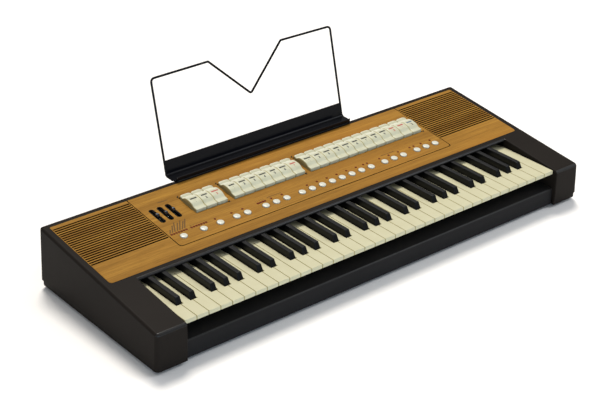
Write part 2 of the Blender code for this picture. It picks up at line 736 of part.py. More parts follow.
def rear_sockets():
    panel = add("rear_panel", box(-290, 290, CASE_D - 5.5, CASE_D - 3.3, 14.2, 62.0), "black_steel")
    tools = [box(INLET[0] - 0.4, INLET[1] + 0.4, 330, 355, INLET[2] - 0.4, INLET[3] + 0.4),
             box(SWITCH_X - 10.6, SWITCH_X + 10.6, 330, 355, SWITCH_Z - 13.6, SWITCH_Z + 13.6)]

    def bore(x, u0, u1):
        return loft([[case(px, u, pz) for px, pz in circle(x, SOCKET_Z, SOCKET_R, 12)]
                     for u in (u0, u1)])

    tools += [bore(x, 330, 355) for x in SOCKET_X]
    cut(panel, merged(*tools), "cut_rear_panel")
    strip = add("socket_strip", box(-136, 16, CASE_D - 28.3, CASE_D - 5.9, 27, 49), "knob")
    cut(strip, merged(*[bore(x, CASE_D - 24.3, 355) for x in SOCKET_X]),
        "cut_sockets")
    inlet = add("mains_inlet", box(INLET[0], INLET[1], CASE_D - 26.3, CASE_D - 1.7,
                                  INLET[2], INLET[3]), "knob")
    cut(inlet, box(INLET[0] + 3, INLET[1] - 3, CASE_D - 18.3, 355, INLET[2] + 3, INLET[3] - 3),
        "cut_inlet")
    # Rocker of the mains switch, at rest with its upper half pressed in.
    lean = math.radians(8)
    shape = [(-7.0, -9.0), (-7.0, 9.0), (-1.0, 12.6), (4.0, 12.6), (2.2, 0.0),
             (4.0, -12.6), (-1.0, -12.6)]
    turned = [(math.cos(lean) * u - math.sin(lean) * z, math.sin(lean) * u + math.cos(lean) * z)
              for u, z in shape]
    add("power_switch", extrude_x([(SWITCH_U + u, SWITCH_Z + z) for u, z in turned],
                                  SWITCH_X - 10.0, SWITCH_X + 10.0), "knob",
        case(SWITCH_X, SWITCH_U, SWITCH_Z))


def feet():
    for side, x in (("left", -418.0), ("right", 418.0)):
        for end, u in (("front", 40.0), ("rear", 306.0)):
            rings = [[case(px, pu, z) for px, pu in circle(x, u, r, 16)]
                     for z, r in ((-FOOT_H, 10.5), (-FOOT_H + 1.0, 11.5), (-0.3, 12.5))]
            smooth(add(f"foot_{end}_{side}", loft(rings), "rubber"))


def main():
    upper_housing()
    base_tray()
    front_rail()
    speaker_panel()
    control_panel()
    keys()
    stop_tabs()
    push_buttons()
    slide_controls()
    music_rest()
    key_chassis()
    boards()
    transformer()
    loudspeaker("left_speaker", (-WOOD_HALF + CTRL_X0) / 2)
    loudspeaker("right_speaker", (WOOD_HALF + CTRL_X1) / 2)
    rear_sockets()
    feet()


main()
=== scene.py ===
"""Finish, fine shapes, light and camera for the table-top electronic organ."""

import math

import bmesh
import bpy
from mathutils import Matrix, Vector


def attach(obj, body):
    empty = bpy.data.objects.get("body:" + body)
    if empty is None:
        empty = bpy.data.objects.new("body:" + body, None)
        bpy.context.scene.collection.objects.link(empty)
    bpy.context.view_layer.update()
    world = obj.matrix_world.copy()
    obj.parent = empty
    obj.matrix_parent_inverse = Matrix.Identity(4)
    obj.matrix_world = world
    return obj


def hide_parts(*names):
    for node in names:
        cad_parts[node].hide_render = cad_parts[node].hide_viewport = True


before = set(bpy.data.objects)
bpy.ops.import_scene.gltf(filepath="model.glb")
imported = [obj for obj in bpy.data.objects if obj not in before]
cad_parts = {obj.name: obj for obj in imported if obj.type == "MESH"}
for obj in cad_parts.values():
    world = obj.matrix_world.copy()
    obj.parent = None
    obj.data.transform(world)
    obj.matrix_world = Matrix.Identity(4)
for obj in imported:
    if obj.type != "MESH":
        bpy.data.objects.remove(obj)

MM = 0.001

# ---------------------------------------------------------------- dimensions
# The same numbers as the construction (mm).
CASE_W, CASE_D = 972.1, 349.0
FRONT_H, REAR_H = 70.8, 110.9
DRAFT, WALL, EDGE_R, FRONT_R, REAR_R, FOOT_H = 0.0437, 3.0, 5.0, 7.5, 5.6, 6.0
TRAY_H, TRAY_INSET = 9.4, 1.2
OVERALL_D = 410.60
PITCH, KEY_GAP, WHITES = 23.5, 0.9, 36
KEY_U, KEY_TOP, KEY_T, WHITE_END = 9.4, 71.0, 7.5, 138.5
SHARP_U, SHARP_H, SHARP_W, SHARP_TOP_W, SHARP_RUN = 54.4, 11.5, 11.2, 9.4, 5.2
NOTCH_GAP = 0.9
SHARP_CENTRES = {"c_sharp": 0.918, "d_sharp": 2.101, "f_sharp": 3.854,
                 "g_sharp": 4.998, "a_sharp": 6.168}
OPEN_HALF, NOSE_U, NOSE_BOTTOM = 424.0, 138.0, 83.3
WOOD_HALF, WOOD_S0, WOOD_S1, WOOD_T = 468.3, 151.7, 339.7, 3.2
CTRL_X0, CTRL_X1, CTRL_S0, SEAM = -311.5, 316.5, 177.8, 1.6
SLOT_COUNT, SLOT_PITCH, SLOT_W, SLOT_S0 = 21, 5.95, 3.4, 210.7
TAB_PITCH, TAB_GAP, TAB_S0, TAB_S1, TAB_SHIFT = 23.15, 0.95, 246.0, 299.5, -0.9
TAB_BANKS = ((-230.2, 3), (-146.9, 7), (26.9, 12))
BUTTON_S, BUTTON_R, BUTTON_TOP, BUTTON_STEP = 199.2, 6.6, 2.5, 23.5
BUTTON_GROUPS = ((-290.2, 1), (-248.4, 1), (-213.1, 1), (-177.9, 2),
                 (-113.6, 3), (-31.4, 8), (166.8, 3), (248.5, 3))
SLIDER_X, SLIDER_S = (-294.6, -277.7, -260.8), (271.6, 270.6, 273.0)
SLIDER_SLOT, SLIDER_SLOT_W = (250.2, 293.8), 7.6
REST_HALF, PLATE_HALF, REST_SHEET = 209.0, 203.3, 2.2
REST_LEAN = math.radians(13.2)
WIRE_R, WIRE_HALF, WIRE_TOP_HALF, WIRE_TOP = 2.1, 206.6, 205.8, 151.5
PEAK_HALF, NOTCH_Z, TONGUE_X = 83.5, 72.0, 150.0
REST_X, NOTCH_X = -0.8, 1.6
SOCKET_X, SOCKET_Z, SOCKET_R = (-120.0, -80.0, -40.0, 0.0), 38.0, 4.6
INLET = (172.0, 204.0, 27.0, 49.0)
SWITCH_X, SWITCH_U, SWITCH_Z = 240.0, CASE_D - 8.3, 38.0
REAR_FACE = CASE_D - 3.3
LEFT_END = -WHITES * PITCH / 2

Y0, Z0 = -OVERALL_D / 2, FOOT_H
TAN = (REAR_H - FRONT_H) / CASE_D
SLOPE = math.atan(TAN)
COS, SIN = math.cos(SLOPE), math.sin(SLOPE)

# Case frame: x, u to the rear, z up. Slope frame: x, s up the slope, h square
# to it. Both in mm, turned into world metres by these matrices.
CASE = Matrix.Scale(MM, 4) @ Matrix.Translation((0.0, Y0, Z0))
ON_SLOPE = CASE @ Matrix.Translation((0.0, 0.0, FRONT_H)) @ Matrix.Rotation(SLOPE, 4, "X")


def top_z(u):
    return FRONT_H + TAN * u


# ---------------------------------------------------------------- materials
class Graph:
    """A Principled material and short ways to add nodes to it."""

    def __init__(self, name, **constants):
        self.mat = bpy.data.materials.new(name)
        self.mat.use_nodes = True
        self.nodes = self.mat.node_tree.nodes
        self.links = self.mat.node_tree.links
        self.nodes.clear()
        out = self.nodes.new("ShaderNodeOutputMaterial")
        self.bsdf = self.nodes.new("ShaderNodeBsdfPrincipled")
        self.links.new(self.bsdf.outputs["BSDF"], out.inputs["Surface"])
        for key, value in constants.items():
            socket = self.bsdf.inputs[key.replace("_", " ")]
            socket.default_value = (*value, 1.0) if isinstance(value, tuple) else value
        self.object = None

    def put(self, socket, value):
        if isinstance(value, bpy.types.NodeSocket):
            self.links.new(value, socket)
        elif isinstance(value, tuple) and len(value) == 3 and socket.type == "RGBA":
            socket.default_value = (*value, 1.0)
        else:
            socket.default_value = value

    def to(self, name, value):
        self.put(self.bsdf.inputs[name], value)
        return self

    def where(self, scale=(1.0, 1.0, 1.0), turn=(0.0, 0.0, 0.0)):
        """Object coordinates (metres), scaled per axis."""
        if self.object is None:
            self.object = self.nodes.new("ShaderNodeTexCoord").outputs["Object"]
        if scale == (1.0, 1.0, 1.0) and turn == (0.0, 0.0, 0.0):
            return self.object
        node = self.nodes.new("ShaderNodeMapping")
        self.links.new(self.object, node.inputs["Vector"])
        node.inputs["Scale"].default_value = scale
        node.inputs["Rotation"].default_value = turn
        return node.outputs["Vector"]

    def noise(self, vector, scale=1.0, detail=3.0, rough=0.55, distortion=0.0):
        node = self.nodes.new("ShaderNodeTexNoise")
        self.put(node.inputs["Vector"], vector)
        node.inputs["Scale"].default_value = scale
        node.inputs["Detail"].default_value = detail
        node.inputs["Roughness"].default_value = rough
        node.inputs["Distortion"].default_value = distortion
        return node.outputs["Fac"]

    def cells(self, vector, scale, feature="F1", spread=1.0):
        node = self.nodes.new("ShaderNodeTexVoronoi")
        node.feature = feature
        self.put(node.inputs["Vector"], vector)
        node.inputs["Scale"].default_value = scale
        node.inputs["Randomness"].default_value = spread
        return node.outputs["Distance"]

    def wave(self, vector, scale, direction="X", distortion=0.0, profile="SIN"):
        node = self.nodes.new("ShaderNodeTexWave")
        node.wave_type = "BANDS"
        node.bands_direction = direction
        node.wave_profile = profile
        self.put(node.inputs["Vector"], vector)
        node.inputs["Scale"].default_value = scale
        node.inputs["Distortion"].default_value = distortion
        return node.outputs["Fac"]

    def ramp(self, fac, *stops, smooth=False):
        """Stops are (position, colour or number)."""
        node = self.nodes.new("ShaderNodeValToRGB")
        node.color_ramp.interpolation = "EASE" if smooth else "LINEAR"
        elements = node.color_ramp.elements
        while len(elements) < len(stops):
            elements.new(0.5)
        for element, (position, value) in zip(elements, stops):
            element.position = position
            colour = value if isinstance(value, tuple) else (value, value, value)
            element.color = (*colour, 1.0)
        self.put(node.inputs["Fac"], fac)
        return node.outputs["Color"]

    def mix(self, fac, a, b, blend="MIX"):
        node = self.nodes.new("ShaderNodeMix")
        node.data_type = "RGBA"
        node.blend_type = blend
        self.put(node.inputs[0], fac)
        self.put(node.inputs[6], a)
        self.put(node.inputs[7], b)
        return node.outputs[2]

    def calc(self, operation, a, b=0.0, c=0.0):
        node = self.nodes.new("ShaderNodeMath")
        node.operation = operation
        for socket, value in zip(node.inputs, (a, b, c)):
            self.put(socket, value)
        return node.outputs[0]

    def span(self, value, low, high):
        """A 0..1 value spread over low..high."""
        node = self.nodes.new("ShaderNodeMapRange")
        self.put(node.inputs["Value"], value)
        node.inputs["To Min"].default_value = low
        node.inputs["To Max"].default_value = high
        return node.outputs["Result"]

    def shift(self, vector, amount, axis):
        """Moves coordinates along one axis by a varying amount."""
        join = self.nodes.new("ShaderNodeCombineXYZ")
        self.put(join.inputs[axis], amount)
        add = self.nodes.new("ShaderNodeVectorMath")
        add.operation = "ADD"
        self.put(add.inputs[0], vector)
        self.put(add.inputs[1], join.outputs[0])
        return add.outputs[0]

    def stretch(self, vector, scale):
        node = self.nodes.new("ShaderNodeMapping")
        self.put(node.inputs["Vector"], vector)
        node.inputs["Scale"].default_value = scale
        return node.outputs["Vector"]

    def bump(self, height, strength, distance, under=None):
        node = self.nodes.new("ShaderNodeBump")
        node.inputs["Strength"].default_value = strength
        node.inputs["Distance"].default_value = distance
        self.put(node.inputs["Height"], height)
        if under is not None:
            self.put(node.inputs["Normal"], under)
        self.links.new(node.outputs["Normal"], self.bsdf.inputs["Normal"])
        return node.outputs["Normal"]


def moulded(name, dark, light, low, high, grain=900.0, depth=0.00009, specular=0.035):
    """Moulded plastic: colour clouds, a leather grain and a varying gloss."""
    g = Graph(name, Specular_IOR_Level=specular)
    clouds = g.noise(g.where(), 9.0, 4.0, 0.6)
    speck = g.noise(g.where(), 2400.0, 2.0, 0.6)
    tone = g.mix(g.span(speck, 0.0, 0.35), g.mix(clouds, dark, light), light)
    g.to("Base Color", tone)
    grain_cells = g.cells(g.where(), grain, "SMOOTH_F1")
    g.to("Roughness", g.span(g.mix(0.5, g.noise(g.where(), 35.0, 5.0, 0.65), grain_cells), low, high))
    first = g.bump(grain_cells, 0.55, depth)
    g.bump(speck, 0.12, depth * 0.5, first)
    return g.mat


def wood_veneer(name, pale, deep, pore, orange):
    """Straight-grained veneer under a satin varnish. The grain runs along X."""
    g = Graph(name, Specular_IOR_Level=0.06)
    sway = g.noise(g.where((1.3, 9.0, 9.0)), 1.0, 2.0, 0.5)
    along = g.shift(g.where(), g.span(sway, -0.006, 0.006), 1)
    bands = g.noise(g.stretch(along, (0.9, 46.0, 46.0)), 1.0, 3.0, 0.55)
    figure = g.noise(g.stretch(along, (5.5, 170.0, 170.0)), 1.0, 4.0, 0.66)
    fibres = g.noise(g.stretch(along, (16.0, 620.0, 620.0)), 1.0, 4.0, 0.65)
    ticks = g.noise(g.stretch(along, (55.0, 1500.0, 1500.0)), 1.0, 2.0, 0.5)
    base = g.mix(g.ramp(bands, (0.30, 0.0), (0.70, 1.0), smooth=True), pale, deep)
    base = g.mix(g.calc("MULTIPLY", g.ramp(figure, (0.38, 0.0), (0.62, 1.0)), 0.55), base, deep)
    base = g.mix(g.calc("MULTIPLY", g.ramp(fibres, (0.42, 0.0), (0.68, 1.0)), 0.48), base, pore)
    base = g.mix(g.calc("MULTIPLY", g.ramp(ticks, (0.60, 0.0), (0.70, 1.0)), 0.60), base, pore)
    blush = g.noise(g.where((2.2, 6.0, 6.0)), 1.0, 2.0, 0.5)
    base = g.mix(g.calc("MULTIPLY", g.ramp(blush, (0.42, 0.0), (0.70, 1.0), smooth=True), 0.40),
                 base, orange)
    g.to("Base Color", base)
    g.to("Roughness", g.span(fibres, 0.42, 0.66))
    first = g.bump(fibres, 0.20, 0.00010)
    g.bump(ticks, 0.15, 0.00008, first)
    return g.mat


def polished(name, pale, shade, low, high, coat=0.0, mottled=38.0, haze=0.35, depth=0.00004,
             grain=260.0):
    """Smooth coloured plastic with faint mottling and handling marks."""
    g = Graph(name, Coat_Weight=coat, Coat_Roughness=0.12, Specular_IOR_Level=0.25)
    mottle = g.noise(g.where(), mottled, 5.0, 0.6)
    fine = g.noise(g.where(), 520.0, 3.0, 0.6)
    tone = g.mix(g.calc("MULTIPLY", g.ramp(mottle, (0.35, 0.0), (0.68, 1.0)), haze), pale, shade)
    g.to("Base Color", g.mix(g.span(fine, 0.0, 0.14), tone, shade))
    smear = g.noise(g.where((60.0, 14.0, 60.0)), 1.0, 4.0, 0.6)
    g.to("Roughness", g.span(smear, low, high))
    g.bump(g.noise(g.where(), grain, 3.0, 0.55), 0.10, depth)
    return g.mat


def ebony_plastic(name):
    """Matt black key plastic with a fine lengthwise grain, rubbed in use."""
    g = Graph(name, Specular_IOR_Level=0.19)
    streak = g.noise(g.where((1500.0, 22.0, 1500.0)), 1.0, 4.0, 0.62)
    worn = g.noise(g.where(), 55.0, 4.0, 0.6)
    g.to("Base Color", g.mix(g.ramp(streak, (0.35, 0.0), (0.75, 1.0)),
                             (0.0018, 0.0020, 0.0025), (0.0058, 0.0060, 0.0066)))
    g.to("Roughness", g.span(g.mix(0.45, streak, worn), 0.26, 0.52))
    g.bump(streak, 0.28, 0.00008)
    return g.mat


def powder_coat(name, dark, light, low=0.30, high=0.50):
    """Black powder-coated steel: a fine orange-peel skin."""
    g = Graph(name, Specular_IOR_Level=0.10)
    peel = g.noise(g.where(), 750.0, 3.0, 0.5)
    clouds = g.noise(g.where(), 12.0, 4.0, 0.6)
    g.to("Base Color", g.mix(clouds, dark, light))
    g.to("Roughness", g.span(g.mix(0.5, peel, clouds), low, high))
    g.bump(peel, 0.30, 0.00007)
    return g.mat


def bare_metal(name, dark, light, low, high, brushed=(700.0, 12.0, 700.0)):
    """Rolled or plated metal with a directional brushing."""
    g = Graph(name, Metallic=1.0)
    lines = g.noise(g.where(brushed), 1.0, 4.0, 0.65)
    stain = g.noise(g.where(), 26.0, 5.0, 0.6)
    g.to("Base Color", g.mix(g.mix(0.5, lines, stain), dark, light))
    g.to("Roughness", g.span(g.mix(0.4, lines, stain), low, high))
    g.bump(lines, 0.12, 0.00004)
    return g.mat


def laminated(name):
    """Stacked core sheets: thin dark lines between grey steel leaves."""
    g = Graph(name, Metallic=0.8)
    leaves = g.wave(g.where(), 620.0, "Z")
    rust = g.noise(g.where(), 70.0, 4.0, 0.65)
    tone = g.mix(g.ramp(leaves, (0.12, 0.0), (0.35, 1.0)), (0.06, 0.06, 0.06), (0.34, 0.34, 0.35))
    g.to("Base Color", g.mix(g.calc("MULTIPLY", g.ramp(rust, (0.55, 0.0), (0.8, 1.0)), 0.5), tone,
                             (0.16, 0.08, 0.04)))
    g.to("Roughness", g.span(rust, 0.35, 0.62))
    g.bump(leaves, 0.5, 0.0002)
    return g.mat


def circuit_board(name):
    """Green solder mask over copper tracks, with small pads."""
    g = Graph(name, Coat_Weight=0.3, Coat_Roughness=0.15)
    tracks = g.wave(g.where((1.0, 1.0, 1.0)), 95.0, "X", 3.0)
    across = g.wave(g.where((1.0, 1.0, 1.0)), 70.0, "Y", 4.0)
    lines = g.calc("MAXIMUM", g.ramp(tracks, (0.60, 0.0), (0.64, 1.0)),
                   g.ramp(across, (0.72, 0.0), (0.76, 1.0)))
    pads = g.ramp(g.cells(g.where(), 190.0), (0.16, 1.0), (0.20, 0.0))
    tone = g.mix(lines, (0.006, 0.050, 0.018), (0.016, 0.115, 0.036))
    g.to("Base Color", g.mix(pads, tone, (0.42, 0.42, 0.40)))
    g.to("Roughness", g.span(lines, 0.34, 0.46))
    g.to("Metallic", g.calc("MULTIPLY", pads, 0.9))
    g.bump(g.calc("ADD", lines, pads), 0.35, 0.00006)
    return g.mat


def rubber_look(name):
    g = Graph(name)
    crumb = g.noise(g.where(), 1100.0, 4.0, 0.6)
    dust = g.noise(g.where(), 60.0, 5.0, 0.65)
    g.to("Base Color", g.mix(g.ramp(dust, (0.45, 0.0), (0.75, 1.0)), (0.012, 0.012, 0.012),
                             (0.040, 0.038, 0.035)))
    g.to("Roughness", g.span(crumb, 0.70, 0.92))
    g.bump(crumb, 0.4, 0.00012)
    return g.mat


def paper_cone(name):
    g = Graph(name)
    pulp = g.noise(g.where(), 420.0, 5.0, 0.7)
    g.to("Base Color", g.mix(pulp, (0.014, 0.014, 0.015), (0.050, 0.048, 0.046)))
    g.to("Roughness", g.span(pulp, 0.55, 0.85))
    g.bump(pulp, 0.5, 0.00018)
    return g.mat


def grille_cloth(name):
    """Dark woven loudspeaker cloth: warp and weft threads."""
    g = Graph(name, Sheen_Weight=0.15, Sheen_Roughness=0.5)
    warp = g.wave(g.where(), 420.0, "X")
    weft = g.wave(g.where(), 420.0, "Y")
    weave = g.calc("MAXIMUM", warp, weft)
    fuzz = g.noise(g.where(), 900.0, 3.0, 0.6)
    tone = g.mix(weave, (0.006, 0.005, 0.004), (0.030, 0.022, 0.014))
    g.to("Base Color", g.mix(g.calc("MULTIPLY", fuzz, 0.4), tone, (0.040, 0.028, 0.018)))
    g.to("Roughness", g.span(fuzz, 0.75, 0.95))
    g.bump(weave, 0.8, 0.00020)
    return g.mat


def printed(name, ink, thin):
    """Screen-printed ink, a little broken where it crosses the grain."""
    g = Graph(name, Specular_IOR_Level=0.1)
    broken = g.noise(g.where(), 1600.0, 3.0, 0.6)
    g.to("Base Color", g.mix(g.ramp(broken, (0.45, 0.0), (0.80, 1.0)), ink, thin))
    g.to("Roughness", g.span(broken, 0.42, 0.62))
    return g.mat


def lamp_lens(name):
    g = Graph(name, Specular_IOR_Level=0.05)
    depth = g.noise(g.where(), 1500.0, 2.0, 0.5)
    g.to("Base Color", g.mix(depth, (0.085, 0.010, 0.005), (0.140, 0.016, 0.008)))
    g.to("Roughness", g.span(depth, 0.12, 0.22))
    return g.mat


CASE_PLASTIC = moulded("case_plastic_grained", (0.0120, 0.0099, 0.0084), (0.0186, 0.0152, 0.0128),
                       0.34, 0.52, specular=0.03)
CASE_EDGE = moulded("case_plastic_edge", (0.0100, 0.0094, 0.0092), (0.0150, 0.0140, 0.0136),
                    0.24, 0.34, grain=1500.0, depth=0.00002, specular=0.24)
RAIL_PLASTIC = moulded("rail_plastic_satin", (0.0127, 0.0122, 0.0124), (0.0195, 0.0188, 0.0190),
                       0.30, 0.46, grain=1300.0, depth=0.00006)
WOOD = wood_veneer("wood_veneer_honey", (0.432, 0.222, 0.035), (0.270, 0.128, 0.018),
                   (0.120, 0.051, 0.009), (0.390, 0.168, 0.024))
# Dark colour for the veneer's cut edges and slot walls: painted shade in the seams and slots.
WOOD_EDGE_SHADE = wood_veneer("wood_edge_painted_shade", (0.034, 0.016, 0.006), (0.020, 0.009, 0.0035),
                        (0.010, 0.005, 0.002), (0.026, 0.012, 0.004))
IVORY = polished("ivory_key_plastic", (0.552, 0.524, 0.352), (0.500, 0.468, 0.292), 0.26, 0.42,
                 coat=0.05, haze=0.45)
# Darker khaki copy of the ivory for the keys' side faces: painted shade and bounce light in the gaps between
# keys.
IVORY_FLANK_SHADE = polished("ivory_key_flank_painted_shade", (0.400, 0.345, 0.160), (0.330, 0.275, 0.115), 0.34, 0.50,
                       haze=0.45)
EBONY = ebony_plastic("black_key_plastic_grained")
TAB = polished("tab_plastic_cream", (0.540, 0.532, 0.390), (0.455, 0.447, 0.300), 0.30, 0.46,
               coat=0.04, mottled=60.0, haze=0.5)
# Darker khaki copies of the tab plastic for side faces: painted shade on the bank ends and in the grooves between
# tabs.
TAB_FLANK_SHADE = polished("tab_plastic_flank_painted_shade", (0.400, 0.345, 0.170), (0.330, 0.275, 0.120), 0.34, 0.50,
                     coat=0.04, mottled=60.0, haze=0.5)
# A whiter copy for faces turned up and to the rear: painted light from the lamp behind.
TAB_HUMP_LIT = polished("tab_plastic_hump_painted_light", (0.690, 0.685, 0.560), (0.610, 0.603, 0.465), 0.26, 0.40,
                    coat=0.06, mottled=60.0, haze=0.4)
TAB_GROOVE_SHADE = polished("tab_plastic_groove_painted_shade", (0.590, 0.530, 0.310), (0.500, 0.440, 0.230), 0.34, 0.50,
                      coat=0.04, mottled=60.0, haze=0.5)
BUTTON = polished("button_plastic_white", (0.610, 0.605, 0.520), (0.520, 0.505, 0.400), 0.24, 0.38,
                  coat=0.10, mottled=120.0)
KNOB = moulded("knob_plastic_black", (0.0035, 0.0035, 0.0040), (0.0075, 0.0075, 0.0085),
               0.28, 0.44, grain=1700.0, depth=0.00004)
KNOB_GRIP = moulded("knob_plastic_grip", (0.0070, 0.0076, 0.0096), (0.0140, 0.0152, 0.0190),
                    0.18, 0.30, grain=1700.0, depth=0.00003, specular=0.55)
SOCKET_PLASTIC = moulded("socket_plastic_black", (0.0080, 0.0080, 0.0080), (0.0160, 0.0160, 0.0160),
                         0.40, 0.60, grain=1400.0, depth=0.00005)
BLACK_STEEL = powder_coat("black_steel_powder", (0.0034, 0.0036, 0.0050), (0.0062, 0.0066, 0.0086),
                          0.15, 0.25)
STEEL = bare_metal("steel_zinc", (0.30, 0.31, 0.32), (0.62, 0.63, 0.64), 0.28, 0.50)
SCREW_DARK = bare_metal("screw_black_oxide", (0.030, 0.029, 0.028), (0.080, 0.078, 0.075), 0.30, 0.5,
                        (900.0, 900.0, 900.0))
NICKEL = bare_metal("nickel_plate", (0.52, 0.50, 0.46), (0.74, 0.72, 0.68), 0.18, 0.32,
                    (900.0, 900.0, 900.0))
CORE = laminated("transformer_laminations")
BOARD = circuit_board("circuit_board_green")
RUBBER = rubber_look("foot_rubber")
CONE = paper_cone("speaker_paper")
CLOTH = grille_cloth("grille_cloth_dark")
INK_BROWN = printed("ink_brown", (0.045, 0.022, 0.009), (0.115, 0.058, 0.019))
INK_FAINT = printed("ink_brown_faint", (0.100, 0.050, 0.014), (0.180, 0.092, 0.025))
INK_GREY = printed("ink_grey", (0.030, 0.030, 0.030), (0.085, 0.083, 0.074))
INK_RED = printed("ink_red", (0.400, 0.085, 0.070), (0.540, 0.210, 0.170))
INK_BLUE = printed("ink_blue", (0.070, 0.120, 0.190), (0.180, 0.230, 0.280))
INK_SLATE = printed("ink_slate", (0.016, 0.020, 0.038), (0.045, 0.052, 0.080))
INK_PALE = printed("ink_pale_grey", (0.200, 0.215, 0.250), (0.280, 0.295, 0.330))
INK_WHITE = printed("ink_white", (0.700, 0.700, 0.690), (0.480, 0.480, 0.470))
LAMP = lamp_lens("lamp_lens_red")


# ---------------------------------------------------------------- mesh tools
def loft(sections, cap=True):
    """A closed bmesh through sections of equal point counts."""
    bm = bmesh.new()
    rings = [[bm.verts.new(p) for p in section] for section in sections]
    count = len(rings[0])
    for a, b in zip(rings, rings[1:]):
        for i in range(count):
            j = (i + 1) % count
            bm.faces.new((a[i], a[j], b[j], b[i]))
    if cap:
        bm.faces.new(list(reversed(rings[0])))
        bm.faces.new(rings[-1])
    bmesh.ops.recalc_face_normals(bm, faces=bm.faces)
    return bm


def along_x(profile, x0, x1):
    return loft([[(x, a, b) for a, b in profile] for x in (x0, x1)])


def upright(outline, z0, z1):
    return loft([[(x, y, z) for x, y in outline] for z in (z0, z1)])


def block(x0, x1, y0, y1, z0, z1):
    return upright([(x0, y0), (x1, y0), (x1, y1), (x0, y1)], z0, z1)


def wedge(x0, x1, u0, u1, z0, depth, draft0=0.0, draft1=0.0):
    rows = []
    for z_of in (lambda u: z0, lambda u: top_z(u) - depth):
        ring = []
        for x, u, lean in ((x0, u0, draft0), (x1, u0, -draft1), (x1, u1, -draft1),
                           (x0, u1, draft0)):
            z = z_of(u)
            ring.append((x + lean * z, u, z))
        rows.append(ring)
    return loft(rows)


def turned(profile, count=32, centre=(0.0, 0.0)):
    """A lathe body about Z; the profile is (radius, z), ends on the axis."""
    bm = bmesh.new()
    cx, cy = centre
    rings = []
    for r, z in profile:
        if r < 1e-6:
            rings.append([bm.verts.new((cx, cy, z))])
        else:
            rings.append([bm.verts.new((cx + r * math.cos(2 * math.pi * k / count),
                                        cy + r * math.sin(2 * math.pi * k / count), z))
                          for k in range(count)])
    for a, b in zip(rings, rings[1:]):
        for k in range(count):
            j = (k + 1) % count
            if len(a) == 1:
                bm.faces.new((a[0], b[j], b[k]))
            elif len(b) == 1:
                bm.faces.new((a[k], a[j], b[0]))
            else:
                bm.faces.new((a[k], a[j], b[j], b[k]))
    if len(rings[0]) > 1:
        bm.faces.new(list(reversed(rings[0])))
    if len(rings[-1]) > 1:
        bm.faces.new(rings[-1])
    bmesh.ops.recalc_face_normals(bm, faces=bm.faces)
    return bm


def rounded(x0, x1, y0, y1, front, rear, steps=8):
    points = []
    for cx, cy, r, start in ((x1 - front, y0 + front, front, -90),
                             (x1 - rear, y1 - rear, rear, 0),
                             (x0 + rear, y1 - rear, rear, 90),
                             (x0 + front, y0 + front, front, 180)):
        if r <= 0:
            points.append((cx, cy))
            continue
        for k in range(steps + 1):
            a = math.radians(start + 90 * k / steps)
            points.append((cx + r * math.cos(a), cy + r * math.sin(a)))
    return points


def circle(cx, cy, r, count):
    return [(cx + r * math.cos(2 * math.pi * k / count), cy + r * math.sin(2 * math.pi * k / count))
            for k in range(count)]


def arc_corner(a, b, c, radius, steps):
    """Points that round the corner b of the path a-b-c."""
    p, q, r = Vector(a), Vector(b), Vector(c)
    d1, d2 = (p - q).normalized(), (r - q).normalized()
    half = d1.angle(d2) / 2
    reach = radius / math.tan(half)
    centre = q + (d1 + d2).normalized() * (radius / math.sin(half))
    start, end = q + d1 * reach - centre, q + d2 * reach - centre
    return [tuple(centre + start.lerp(end, k / steps).normalized() * radius)
            for k in range(steps + 1)]


def smooth_line(points, steps=4):
    """A Catmull-Rom curve through the points."""
    out = []
    for i in range(len(points) - 1):
        p0 = Vector(points[max(i - 1, 0)])
        p1, p2 = Vector(points[i]), Vector(points[i + 1])
        p3 = Vector(points[min(i + 2, len(points) - 1)])
        for k in range(steps):
            t = k / steps
            out.append(tuple(0.5 * ((2 * p1) + (p2 - p0) * t + (2 * p0 - 5 * p1 + 4 * p2 - p3) * t * t
                                    + (3 * p1 - p0 - 3 * p2 + p3) * t ** 3)))
    out.append(tuple(points[-1]))
    return out


def bevel(bm, width, segments, pick):
    edges = [e for e in bm.edges if pick(e)]
    if edges:
        bmesh.ops.bevel(bm, geom=edges, offset=width, offset_type="OFFSET", segments=segments,
                        profile=0.5, affect="EDGES", clamp_overlap=True, miter_outer="SHARP")
    return bm


def sharp_edge(e, least=40.0):
    return (len(e.link_faces) == 2 and e.is_convex
            and e.calc_face_angle(0.0) > math.radians(least))


def mid(e):
    return (e.verts[0].co + e.verts[1].co) / 2


def together(*parts):
    """Several bmeshes in one, as separate shells."""
    out = bmesh.new()
    for part in parts:
        mesh = bpy.data.meshes.new("join")
        part.to_mesh(mesh)
        part.free()
        out.from_mesh(mesh)
        bpy.data.meshes.remove(mesh)
    return out


def carve(bm, *tools):
    """Cuts or joins each (bmesh, operation) tool and returns the result."""
    scene = bpy.context.scene.collection
    made = []

    def bring(part):
        mesh = bpy.data.meshes.new("work")
        part.to_mesh(mesh)
        part.free()
        obj = bpy.data.objects.new("work", mesh)
        scene.objects.link(obj)
        made.append(obj)
        return obj

    base = bring(bm)
    for tool, operation in tools:
        mod = base.modifiers.new(operation, "BOOLEAN")
        mod.operation = operation
        mod.solver = "EXACT"
        mod.object = bring(tool)
    bpy.context.view_layer.update()
    graph = bpy.context.evaluated_depsgraph_get()
    result = bpy.data.meshes.new_from_object(base.evaluated_get(graph))
    out = bmesh.new()
    out.from_mesh(result)
    bpy.data.meshes.remove(result)
    for obj in made:
        mesh = obj.data
        bpy.data.objects.remove(obj, do_unlink=True)
        bpy.data.meshes.remove(mesh)
    bmesh.ops.remove_doubles(out, verts=out.verts, dist=1e-4)
    bmesh.ops.dissolve_degenerate(out, dist=1e-4, edges=out.edges)
    return out


def cut(bm, *tools):
    return carve(bm, *[(t, "DIFFERENCE") for t in tools])


def unite(bm, *tools):
    return carve(bm, *[(t, "UNION") for t in tools])


